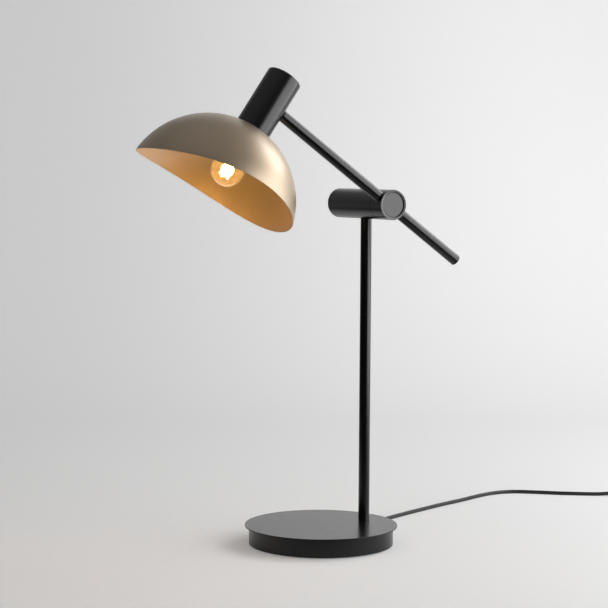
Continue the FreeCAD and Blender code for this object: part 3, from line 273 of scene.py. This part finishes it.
# Faces on the lip's front take the lighter coat, the painted highlight.
joint_head.data.materials.append(lip_highlight_coat)
to_joint = joint_place.inverted()
for face in joint_head.data.polygons:
    middle = to_joint @ face.center
    on_lip_highlight = middle.z < LIP_HIGHLIGHT_FRONT * MM and middle.xy.length > LIP_HIGHLIGHT_RADIUS * MM
    face.material_index = 1 if on_lip_highlight else 0
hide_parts("joint_head")
front_disc = turned(
    "joint_disc", [
        (0, DISC_FRONT), (DISC_RADIUS, DISC_FRONT), (DISC_RADIUS, RECESS_FLOOR), (0, RECESS_FLOOR)],
    "arm", grey_coat, joint_place, soften=0.25)
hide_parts("joint_cap")
arm_tube = turned(
    "arm_rod", [
        (ARM_BORE, ARM_FRONT), (ARM_RADIUS, ARM_FRONT), (ARM_RADIUS, TUBE_END), (ARM_BORE, TUBE_END)],
    "arm", powder_coat, arm_place @ ALONG_X, soften=0.4, steps=TUBE_STEPS)
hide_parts("arm_tube")
tail_cap = turned(
    "arm_end_cap", [
        (0, CAP_PLUG_START), (CAP_PLUG_RADIUS, CAP_PLUG_START), (CAP_PLUG_RADIUS, TUBE_END),
        (ARM_RADIUS, TUBE_END), (ARM_RADIUS, ARM_TAIL), (0, ARM_TAIL)],
    "arm", powder_coat, arm_place @ ALONG_X, soften=0.5, steps=TUBE_STEPS)
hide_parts("arm_tail_cap")

# ---------------------------------------------------------------------------------------------------------
# Head: a deep-drawn steel cup, coated black, that swivels on the stud in the arm's end. It sits on the
# dome and hides the lampholder.
HEAD_REACH, HEAD_RADIUS, HEAD_TOP, HEAD_ROUND, HEAD_WALL = -240, 25, 45, 3, 1.5
SHADE_DROP, SHADE_RADIUS, SHADE_WALL = 160, 118, 1
head_place = arm_place @ Matrix.Translation((HEAD_REACH * MM, 0, 0))
head_low = math.sqrt(SHADE_RADIUS ** 2 - (HEAD_RADIUS - HEAD_WALL) ** 2) - SHADE_DROP
round_middle, round_height = HEAD_RADIUS - HEAD_ROUND, HEAD_TOP - HEAD_ROUND
cup_top = [
    (round_middle + HEAD_ROUND * math.cos(a), round_height + HEAD_ROUND * math.sin(a))
    for a in (math.pi / 2 * i / 6 for i in range(7))]
cup = turned(
    "head_cup", [
        (HEAD_RADIUS - HEAD_WALL, head_low), (HEAD_RADIUS, head_low), *cup_top, (0, HEAD_TOP),
        (0, HEAD_TOP - HEAD_WALL), (round_middle, HEAD_TOP - HEAD_WALL),
        (HEAD_RADIUS - HEAD_WALL, round_height)],
    "head", powder_coat, head_place)
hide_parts("head_shell")

# ---------------------------------------------------------------------------------------------------------
# Shade: a dome spun from sheet aluminium, champagne gold outside and a warmer gold inside, with its mouth
# cut on a wide curve. The spinning leaves very fine rings about the head's axis under the satin finish.
SHADE_HOLE, MOUTH_RADIUS, MOUTH_SHIFT, MOUTH_RISE = 14.5, 400, 38, 35
SHADE_RINGS, SHADE_STEPS, MOUTH_SEARCH_STEPS = 64, 288, 40


def mouth_angle(around):
    """The angle from the dome's top at which the mouth cuts it, at an angle round the axis."""
    low, high = 0.2, math.pi / 2
    for _ in range(MOUTH_SEARCH_STEPS):
        tilt = (low + high) / 2
        x = SHADE_RADIUS * math.sin(tilt) * math.cos(around) - MOUTH_SHIFT
        z = SHADE_RADIUS * math.cos(tilt) - MOUTH_RISE + MOUTH_RADIUS
        low, high = (tilt, high) if x * x + z * z > MOUTH_RADIUS ** 2 else (low, tilt)
    return low


def spinning_rings(tree, spot):
    """The tool's rings round the shade's own axis: under a millimetre apart, and long round the dome."""
    own = add(tree, "ShaderNodeMapping", {
        "Vector": spot, "Location": head_place.translation, "Rotation": (0, ARM_ANGLE, 0)},
        vector_type="TEXTURE")
    drawn_out = add(tree, "ShaderNodeMapping", {"Vector": own, "Scale": (60, 60, 1600)})
    rings = add(tree, "ShaderNodeTexNoise", {"Vector": drawn_out, "Scale": 1, "Detail": 2})
    return add(tree, "ShaderNodeBump", {"Height": rings, "Distance": 0.01 * MM, "Strength": 0.5})


# Champagne finish under satin lacquer: a pale, slightly grey gold on which the light spreads wide.
def champagne_inputs(tree, spot):
    return {
        "Base Color": paint("b8a58d"), "Metallic": 1.0, "Coat Weight": 0.7, "Coat Roughness": 0.3,
        "Roughness": worn(tree, spot, 20, 0.45, 0.49), "Normal": spinning_rings(tree, spot)}


# Gold lacquer inside: lighter and warmer, partly milky, so it glows evenly round the bulb.
def inner_gold_inputs(tree, spot):
    return {
        "Base Color": paint("eedabc"), "Metallic": 0.92, "Roughness": worn(tree, spot, 20, 0.42, 0.48),
        "Normal": spinning_rings(tree, spot)}


champagne = finish("champagne_plating", champagne_inputs)
inner_gold = finish("warm_gold_lining", inner_gold_inputs)

hole_angle = math.asin(SHADE_HOLE / SHADE_RADIUS)
parts_down = [part / SHADE_RINGS for part in range(SHADE_RINGS + 1)]
shell = [(SHADE_RADIUS, part) for part in parts_down]
shell += [(SHADE_RADIUS - SHADE_WALL, part) for part in reversed(parts_down)]
bm = bmesh.new()
vertex_part = bm.verts.layers.float.new("part")
vertex_radius = bm.verts.layers.float.new("radius")
corners = []
for radius, part in shell:
    tilt = hole_angle + part * (math.pi / 2 - hole_angle)
    vertex = bm.verts.new((radius * math.sin(tilt), 0, radius * math.cos(tilt)))
    vertex[vertex_part], vertex[vertex_radius] = part, radius
    corners.append(vertex)
sides = [bm.edges.new(pair) for pair in zip(corners, corners[1:] + corners[:1])]
bmesh.ops.spin(
    bm, geom=[*corners, *sides], cent=(0, 0, 0), axis=(0, 0, 1), angle=2 * math.pi, steps=SHADE_STEPS,
    use_merge=True)
for vertex in bm.verts:
    around = math.atan2(vertex.co.y, vertex.co.x)
    tilt = hole_angle + vertex[vertex_part] * (mouth_angle(around) - hole_angle)
    radius = vertex[vertex_radius]
    vertex.co = Vector((
        radius * math.sin(tilt) * math.cos(around), radius * math.sin(tilt) * math.sin(around),
        radius * math.cos(tilt) - SHADE_DROP)) * MM
inner_limit = SHADE_RADIUS - SHADE_WALL / 2
for face in bm.faces:
    face.material_index = 1 if all(v[vertex_radius] < inner_limit for v in face.verts) else 0
shade = shaped("dome_shade", bm, "head", champagne, head_place, soften=0.25, keen=0.7)
shade.data.materials.append(inner_gold)
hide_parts("shade")

# ---------------------------------------------------------------------------------------------------------
# Lampholder and shade ring: black thermoset mouldings inside the dome. The ring screws up the holder's
# thread and clamps the dome against the cup.
RING_RADIUS, RING_HEIGHT = 21, 8
HOLDER_TOP, FLANGE_TOP, FLANGE_LOW, FLOOR_TOP, FLOOR_LOW, HOLDER_MOUTH = -14, -40.9, -42.9, -44, -48, -79
LEAD_HOLE, SOCKET_RADIUS, COVER_RADIUS, HOLDER_RADIUS, FLANGE_RADIUS = 5, 10, 13, 14, 19


# Thermoset: pressed hot in a polished mould, so semi-matt, very dark and hard-looking.
def thermoset_inputs(tree, spot):
    return {
        "Base Color": paint("161617"), "Roughness": worn(tree, spot, 6, 0.4, 0.55), "IOR": 1.6,
        "Normal": tooth(tree, spot, 0.6, 0.02)}


thermoset = finish("black_thermoset", thermoset_inputs)
holder = turned(
    "lampholder", [
        (LEAD_HOLE, HOLDER_TOP), (COVER_RADIUS, HOLDER_TOP), (COVER_RADIUS, FLANGE_TOP),
        (FLANGE_RADIUS, FLANGE_TOP), (FLANGE_RADIUS, FLANGE_LOW), (HOLDER_RADIUS, FLANGE_LOW),
        (HOLDER_RADIUS, HOLDER_MOUTH), (SOCKET_RADIUS, HOLDER_MOUTH), (SOCKET_RADIUS, FLOOR_LOW),
        (0, FLOOR_LOW), (0, FLOOR_TOP), (LEAD_HOLE, FLOOR_TOP)],
    "head", thermoset, head_place, soften=0.5, steps=TUBE_STEPS)
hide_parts("lampholder_body")
ring_top = math.sqrt((SHADE_RADIUS - SHADE_WALL) ** 2 - RING_RADIUS ** 2) - SHADE_DROP
ring = turned(
    "shade_ring_nut", [
        (HOLDER_RADIUS, ring_top - RING_HEIGHT), (RING_RADIUS, ring_top - RING_HEIGHT),
        (RING_RADIUS, ring_top), (HOLDER_RADIUS, ring_top)],
    "head", thermoset, head_place, soften=0.6, steps=TUBE_STEPS)
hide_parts("shade_ring")

# ---------------------------------------------------------------------------------------------------------
# Bulb: a clear golf ball lamp, 45 mm, blown from thin glass, screwed into the holder. Four leaning
# filaments stand on a glass stem and glow too bright to look at.
BULB_MIDDLE, BULB_RADIUS, GLASS_WALL = -109, 22.5, 0.7
NECK_TOP, NECK_RADIUS, SHOULDER_RADIUS, GLOBE_STEPS = -80, 8.5, 13, 40
STEM_FOOT_RADIUS, STEM_RADIUS, STEM_WAIST, STEM_TIP = 6, 3, -86, -96
FILAMENTS, STICK_RADIUS, STICK_LENGTH, STICK_TOP, STICK_ASIDE, STICK_LEAN = 4, 1.35, 23.6, -96.2, 3.2, 9


def globe(radius, shoulder):
    """Points down the globe's side from its shoulder to the bottom."""
    start = math.asin(shoulder / radius)
    return [(radius * math.sin(a), BULB_MIDDLE + radius * math.cos(a)) for a in (
        start + (math.pi - start) * i / GLOBE_STEPS for i in range(GLOBE_STEPS))]


# Clear blown glass: shows only by its edge and glints, with a faint warm haze from the light inside it.
# Shadow rays pass it, as light does, so that the bulb's own light gets out.
glass = blank("clear_blown_glass")
tree = glass.node_tree
blown = add(tree, "ShaderNodeBsdfPrincipled", {
    "Base Color": paint("fff6ea"), "Transmission Weight": 1.0, "Roughness": 0.02, "IOR": 1.5})
haze = add(tree, "ShaderNodeBsdfTranslucent", {"Color": paint("fff6ea")})
clear = add(tree, "ShaderNodeMixShader", {"Fac": 0.02, 1: blown, 2: haze})
passing = add(tree, "ShaderNodeBsdfTransparent", {"Color": paint("fff4e4")})
add(tree, "ShaderNodeOutputMaterial", {"Surface": add(tree, "ShaderNodeMixShader", {
    "Fac": add(tree, "ShaderNodeLightPath").outputs["Is Shadow Ray"], 1: clear, 2: passing})})

bulb = turned(
    "bulb_globe", [
        (NECK_RADIUS, NECK_TOP), *globe(BULB_RADIUS, SHOULDER_RADIUS), (0, BULB_MIDDLE - BULB_RADIUS),
        (0, BULB_MIDDLE - BULB_RADIUS + GLASS_WALL),
        *reversed(globe(BULB_RADIUS - GLASS_WALL, SHOULDER_RADIUS - GLASS_WALL)),
        (NECK_RADIUS - GLASS_WALL, NECK_TOP)],
    "head", glass, head_place, steps=TUBE_STEPS)
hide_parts("bulb_glass")
stem = turned(
    "bulb_glass_stem", [
        (0, NECK_TOP), (STEM_FOOT_RADIUS, NECK_TOP), (STEM_RADIUS, STEM_WAIST), (STEM_RADIUS, STEM_TIP),
        (0, STEM_TIP)],
    "head", glass, head_place, soften=0.6, steps=48)
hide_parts("bulb_stem")

# Phosphor over the filaments: lit, it is plain warm white, and the picture can't hold its brightness.
glow = blank("glowing_phosphor")
add(glow.node_tree, "ShaderNodeOutputMaterial", {"Surface": add(glow.node_tree, "ShaderNodeEmission", {
    "Color": paint("ffd9a0"), "Strength": 30.0})})
bm = bmesh.new()
for stick in range(FILAMENTS):
    lean = Matrix.Rotation(2 * math.pi * stick / FILAMENTS, 4, "Z") @ Matrix.Translation(
        (STICK_ASIDE * MM, 0, STICK_TOP * MM)) @ Matrix.Rotation(math.radians(180 - STICK_LEAN), 4, "Y")
    bmesh.ops.create_cone(
        bm, cap_ends=True, segments=16, radius1=STICK_RADIUS * MM, radius2=STICK_RADIUS * MM,
        depth=STICK_LENGTH * MM, matrix=lean @ Matrix.Translation((0, 0, STICK_LENGTH / 2 * MM)))
filaments = shaped("bulb_filament_sticks", bm, "head", glow, head_place, soften=0.2)
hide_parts("bulb_filaments")
bulb_light_data = bpy.data.lights.new("bulb_light", "POINT")
bulb_light_data.energy = 0.215
bulb_light_data.color = paint("ffcb60")[:3]
bulb_light_data.shadow_soft_size = 10 * MM
bulb_light = bpy.data.objects.new("bulb_light", bulb_light_data)
bulb_light.location = head_place @ Vector((0, 0, BULB_MIDDLE * MM))
bpy.context.collection.objects.link(bulb_light)
bulb_light.parent = frame["bodies"]["head"]

# ---------------------------------------------------------------------------------------------------------
# Mains cord: round two-core flex in a smooth black sheath, 1.8 m long. It leaves the gland, lies across the
# table to the inline switch, and the rest is wound into a coil with the plug beside it.
CORD_DIAMETER = 6 * MM
ROUTE_TO_SWITCH = [
    (114.32, 66, 8.5), (133.7, 77.2, 8.5), (158, 90.5, 3.2), (188, 104.5, 3), (224, 120, 3), (272, 138.5, 3),
    (322, 157.5, 3), (372, 173, 3), (420, 192, 3), (459, 202, 3), (492, 197, 3), (522, 173, 3),
    (549, 147, 3), (580, 123, 3), (612, 103, 3), (642, 84, 8.5), (666, 69, 8.5)]
ROUTE_TO_COIL = [(718.58, 36.15, 8.5), (735.6, 25.5, 8.5), (751, 10.5, 5), (759.5, -9, 3), (763, -30, 3)]
COIL_TURNS, COIL_POINTS, COIL_PITCH, COIL_LENGTH = 5, 16, 6.6, 988
COIL_HEADING = math.radians(-80.5)
TAIL = [(767.3, -55.6, 9.6), (769.25, -71.5, 7), (770.22, -85.47, 7)]


# Soft black PVC: extruded, so smooth and a little greasy, with faint handling marks.
def sheath_inputs(tree, spot):
    return {
        "Base Color": paint("18181a"), "Roughness": worn(tree, spot, 9, 0.38, 0.52, Detail=3), "IOR": 1.53,
        "Normal": tooth(tree, spot, 1.2, 0.02)}


sheath = finish("black_pvc_sheath", sheath_inputs)


def spline_cord(name, route):
    """A round cord on one smooth NURBS line through the route's control points, in mm."""
    curve = bpy.data.curves.new(name, "CURVE")
    curve.dimensions = "3D"
    curve.bevel_depth = CORD_DIAMETER / 2
    curve.bevel_resolution = 6
    curve.use_fill_caps = True
    line = curve.splines.new("NURBS")
    line.points.add(len(route) - 1)
    for point, place in zip(line.points, route):
        point.co = (*(Vector(place) * MM), 1)
    line.order_u = 3
    line.use_endpoint_u = True
    line.resolution_u = 8
    line.use_smooth = True
    curve.materials.append(sheath)
    cord = bpy.data.objects.new(name, curve)
    bpy.context.collection.objects.link(cord)
    return cord


def coil_route():
    """The coil's points: in on the table, up a layer in the innermost half turn, and out on top."""
    heading = Vector((math.cos(COIL_HEADING), math.sin(COIL_HEADING), 0))
    inward = Vector((heading.y, -heading.x, 0))
    middle = (COIL_LENGTH - 2 * CORD_DIAMETER / MM) / (2 * math.pi * COIL_TURNS)
    outer = middle + COIL_PITCH * COIL_TURNS / 4
    enter = Vector(ROUTE_TO_COIL[-1]) + heading * CORD_DIAMETER / MM
    centre = enter + inward * outer
    shrink = math.cos(math.pi / COIL_POINTS)
    points = []
    for i in range(COIL_TURNS * COIL_POINTS + 1):
        turns = i / COIL_POINTS
        radius = (outer - COIL_PITCH * min(turns, COIL_TURNS - turns)) / shrink
        if i in (0, COIL_TURNS * COIL_POINTS):
            radius = outer
        angle = COIL_HEADING + math.pi / 2 - turns * 2 * math.pi
        climb = min(max((turns - COIL_TURNS / 2) * 2 + 0.5, 0), 1)
        climb = climb * climb * (3 - 2 * climb)
        points.append(centre + Vector((
            math.cos(angle) * radius, math.sin(angle) * radius, climb * COIL_PITCH)))
    leave = points[-1] + heading * CORD_DIAMETER / MM
    return [*points, leave]


cord_to_switch = spline_cord("cord_to_switch", ROUTE_TO_SWITCH)
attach(cord_to_switch, "base")
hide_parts("cord_lead")
cord_to_plug = spline_cord("cord_to_plug", [*ROUTE_TO_COIL, *coil_route(), *TAIL])
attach(cord_to_plug, "base")
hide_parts("cord_link", "cord_coil", "cord_tail")


# ---------------------------------------------------------------------------------------------------------
# Hardware: screws, nuts, washers, the cast weight, the switch and the plug keep their CAD shape, each in
# the finish of what it is. This one is zinc plate, cool grey and a little spangled.
def zinc_inputs(tree, spot):
    return {
        "Base Color": paint("b9babb"), "Metallic": 1.0, "Roughness": worn(tree, spot, 1.5, 0.3, 0.45),
        "Normal": tooth(tree, spot, 0.4, 0.01)}


# Drawn brass, bright, with slightly duller patches.
def brass_inputs(tree, spot):
    return {"Base Color": paint("c9a35a"), "Metallic": 1.0, "Roughness": worn(tree, spot, 2, 0.22, 0.38)}


# Nickel plate, warm white and almost polished.
def nickel_inputs(tree, spot):
    return {"Base Color": paint("c9c6be"), "Metallic": 1.0, "Roughness": worn(tree, spot, 2, 0.18, 0.3)}


# Grey iron as it comes from a sand mould: dark, dull and gritty.
def iron_inputs(tree, spot):
    return {
        "Base Color": paint("2a2a2b"), "Metallic": 1.0, "Roughness": worn(tree, spot, 2, 0.55, 0.75),
        "Normal": tooth(tree, spot, 1.0, 0.2, Detail=4)}


# Natural nylon, stamped from sheet: off-white and waxy.
def nylon_inputs(tree, spot):
    return {"Base Color": paint("d9d4c6"), "Roughness": worn(tree, spot, 3, 0.45, 0.6), "IOR": 1.53}


# Moulded plastic of switch and plug: black with a fine spark-eroded grain.
def moulding_inputs(tree, spot):
    return {
        "Base Color": paint("19191b"), "Roughness": worn(tree, spot, 5, 0.42, 0.55), "IOR": 1.53,
        "Normal": tooth(tree, spot, 0.5, 0.03)}


moulding = finish("black_moulded_plastic", moulding_inputs)
SLOT_FINISHES = {
    "fixings": finish("zinc_plated_steel", zinc_inputs), "bare_brass": finish("bright_brass", brass_inputs),
    "plug_metal": finish("nickel_plate", nickel_inputs), "iron": finish("cast_iron", iron_inputs),
    "nylon": finish("natural_nylon", nylon_inputs), "black_moulding": moulding, "rocker_moulding": moulding,
    "black_sheet": powder_coat, "black_satin": powder_coat, "inner_lead": sheath, "cord_sheath": sheath,
    "black_rubber": sheath, "bulb_metal": finish("bulb_cap_nickel", nickel_inputs),
    "holder_moulding": thermoset, "felt": felt, "grey_disc": grey_coat, "champagne_gold": champagne,
    "clear_glass": glass, "filament": glow}
for part in frame["record"]["subparts"]:
    node = frame["nodes"][part["node"]]
    node.data.materials.clear()
    node.data.materials.append(SLOT_FINISHES[part["material_slot"]])

# ---------------------------------------------------------------------------------------------------------
# Camera: a short telephoto on a tripod, a little above the pivot and turned down a few degrees. Its place
# was found by fitting the lamp's own outlines.
FRAME_WIDTH_PX = 608
FOCAL_PX = 1834.495
CAMERA_PLACE = Vector((-1349.97, -2240.45, 547.57)) * MM
CAMERA_AZIMUTH, CAMERA_PITCH, CAMERA_ROLL = (math.radians(a) for a in (-30.496, 4.379, 0.325))
camera_data = bpy.data.cameras.new("camera")
camera_data.sensor_width = 36
camera_data.lens = FOCAL_PX / FRAME_WIDTH_PX * camera_data.sensor_width
camera_data.clip_start, camera_data.clip_end = 0.1, 50
camera = bpy.data.objects.new("camera", camera_data)
looking = Vector((
    -math.sin(CAMERA_AZIMUTH) * math.cos(CAMERA_PITCH), math.cos(CAMERA_AZIMUTH) * math.cos(CAMERA_PITCH),
    -math.sin(CAMERA_PITCH)))
level_right = Vector((math.cos(CAMERA_AZIMUTH), math.sin(CAMERA_AZIMUTH), 0))
level_up = level_right.cross(looking)
camera_right = level_right * math.cos(CAMERA_ROLL) + level_up * math.sin(CAMERA_ROLL)
camera_up = level_up * math.cos(CAMERA_ROLL) - level_right * math.sin(CAMERA_ROLL)
camera.matrix_world = Matrix.Translation(CAMERA_PLACE) @ Matrix(
    (camera_right, camera_up, -looking)).transposed().to_4x4()
bpy.context.collection.objects.link(camera)
bpy.context.scene.camera = camera

# ---------------------------------------------------------------------------------------------------------
# Studio: seamless paper that runs up behind the lamp in one wide bend, a large soft light and a small high
# one on the right, and a dim room. The paper is squared up with the camera.
SWEEP_LEFT, SWEEP_RIGHT, SWEEP_FRONT, SWEEP_BACK = -5.0, 5.0, -5.0, 2.2
SWEEP_BEND, SWEEP_TOP, BEND_STEPS = 0.9, 3.0, 24
sweep_path = [(SWEEP_FRONT, 0)]
sweep_path += [
    (SWEEP_BACK - SWEEP_BEND + SWEEP_BEND * math.sin(a), SWEEP_BEND - SWEEP_BEND * math.cos(a))
    for a in (math.pi / 2 * i / BEND_STEPS for i in range(BEND_STEPS + 1))]
sweep_path.append((SWEEP_BACK, SWEEP_TOP))
bm = bmesh.new()
edge = [bm.verts.new((SWEEP_LEFT, y, z)) for y, z in sweep_path]
runs = [bm.edges.new(pair) for pair in zip(edge, edge[1:])]
grown = bmesh.ops.extrude_edge_only(bm, edges=runs)["geom"]
bmesh.ops.translate(
    bm, verts=[v for v in grown if isinstance(v, bmesh.types.BMVert)], vec=(SWEEP_RIGHT - SWEEP_LEFT, 0, 0))
bm.normal_update()
bm.faces.ensure_lookup_table()
if bm.faces[0].normal.z < 0:
    bmesh.ops.reverse_faces(bm, faces=bm.faces)
sweep_mesh = bpy.data.meshes.new("paper_sweep")
bm.to_mesh(sweep_mesh)
bm.free()
sweep_mesh.transform(Matrix.Rotation(CAMERA_AZIMUTH, 4, "Z"))
sweep_mesh.shade_smooth()
sweep = bpy.data.objects.new("paper_sweep", sweep_mesh)

# Matt pale grey paper. What the camera and the glossy pieces see of it is lifted by a glow, stronger on the
# right and higher up. Black flags keep its left and front out of the glossy pieces. From behind it is clear.
paper = blank("pale_paper")
tree = paper.node_tree
squared = add(tree, "ShaderNodeVectorRotate", {
    "Vector": add(tree, "ShaderNodeTexCoord").outputs["Object"], "Angle": -CAMERA_AZIMUTH},
    rotation_type="Z_AXIS")
across, back, up = add(tree, "ShaderNodeSeparateXYZ", {0: squared}).outputs
back_and_up = add(tree, "ShaderNodeMath", {0: back, 1: up}, operation="ADD")
near_glow, far_glow, climb, left_flag, left_reach, front_flag = (
    add(tree, "ShaderNodeMapRange", {
        "Value": place, "From Min": start, "From Max": end, "To Min": low, "To Max": high},
        interpolation_type="SMOOTHSTEP")
    # Where on the paper, from there to there in metres, and the value at each of the two.
    for place, start, end, low, high in (
        (across, -0.7, 0.7, 0.23, 0.195), (across, -0.7, 0.9, 0.095, 0.38), (back_and_up, 0.0, 2.8, 0.0, 1.0),
        (across, -1.0, -0.4, 1.0, 0.0), (back, 0.3, 1.3, 1.0, 0.45), (back, -0.6, 0.3, 1.0, 0.0)))
rays = add(tree, "ShaderNodeLightPath")
direct = add(tree, "ShaderNodeMath", {
    0: rays.outputs["Is Camera Ray"], 1: rays.outputs["Is Glossy Ray"]}, operation="MAXIMUM")
back_glow = add(tree, "ShaderNodeMath", {0: far_glow, 1: climb}, operation="MULTIPLY")
whole_glow = add(tree, "ShaderNodeMath", {0: near_glow, 1: back_glow}, operation="ADD")
glow_seen = add(tree, "ShaderNodeMath", {0: whole_glow, 1: direct}, operation="MULTIPLY")
left_side = add(tree, "ShaderNodeMath", {0: left_flag, 1: left_reach}, operation="MULTIPLY")
dark_side = add(tree, "ShaderNodeMath", {0: left_side, 1: front_flag}, operation="MAXIMUM")
flagged = add(tree, "ShaderNodeMath", {0: dark_side, 1: rays.outputs["Is Glossy Ray"]}, operation="MULTIPLY")
unflagged = add(tree, "ShaderNodeMath", {0: 1.0, 1: flagged}, operation="SUBTRACT")
tone = add(tree, "ShaderNodeMix", {
    "Factor": flagged, 6: paint("e6e6e6"), 7: paint("000000")}, data_type="RGBA")
lit = add(tree, "ShaderNodeAddShader", {
    0: add(tree, "ShaderNodeBsdfDiffuse", {"Color": tone.outputs[2]}),
    1: add(tree, "ShaderNodeEmission", {
        "Strength": add(tree, "ShaderNodeMath", {0: glow_seen, 1: unflagged}, operation="MULTIPLY")})})
from_behind = add(tree, "ShaderNodeMath", {
    0: add(tree, "ShaderNodeNewGeometry").outputs["Backfacing"], 1: rays.outputs["Is Camera Ray"]},
    operation="MULTIPLY")
add(tree, "ShaderNodeOutputMaterial", {"Surface": add(tree, "ShaderNodeMixShader", {
    "Fac": from_behind, 1: lit, 2: add(tree, "ShaderNodeBsdfTransparent")})})
sweep_mesh.materials.append(paper)
bpy.context.collection.objects.link(sweep)


def softbox(name, place, target, width, height, energy):
    """A white rectangular light that faces its target and can't be seen itself."""
    data = bpy.data.lights.new(name, "AREA")
    data.shape = "RECTANGLE"
    data.size, data.size_y = width, height
    data.energy = energy
    light = bpy.data.objects.new(name, data)
    light.location = place
    light.rotation_mode = "QUATERNION"
    light.rotation_quaternion = (Vector(target) - Vector(place)).to_track_quat("-Z", "Y")
    light.visible_camera = False
    bpy.context.collection.objects.link(light)


softbox("key", (1.06, -0.94, 0.67), (0, 0, 0.63), 1.9, 1.25, 21)
softbox("upper", (1.5, 0.1, 1.45), (0, 0, 0.5), 0.9, 0.8, 9)

# The room is dim low down and lighter above; the camera sees it as pale as the paper.
ROOM_SEEN, ROOM_LOW, ROOM_HIGH = 0.75, 0.03, 0.33
world = bpy.data.worlds.new("room")
bpy.context.scene.world = world
world.use_nodes = True
tree = world.node_tree
tree.nodes.clear()
direction = add(tree, "ShaderNodeSeparateXYZ", {0: add(tree, "ShaderNodeTexCoord").outputs["Generated"]})
dim = add(tree, "ShaderNodeMapRange", {
    "Value": direction.outputs["Z"], "From Min": 0.25, "From Max": 0.95, "To Min": ROOM_LOW,
    "To Max": ROOM_HIGH})
strength = add(tree, "ShaderNodeMix", {
    "Factor": add(tree, "ShaderNodeLightPath").outputs["Is Camera Ray"], 2: dim, 3: ROOM_SEEN})
add(tree, "ShaderNodeOutputWorld", {"Surface": add(tree, "ShaderNodeBackground", {
    "Color": paint("ffffff"), "Strength": strength})})
bpy.context.scene.view_settings.view_transform = "Standard"
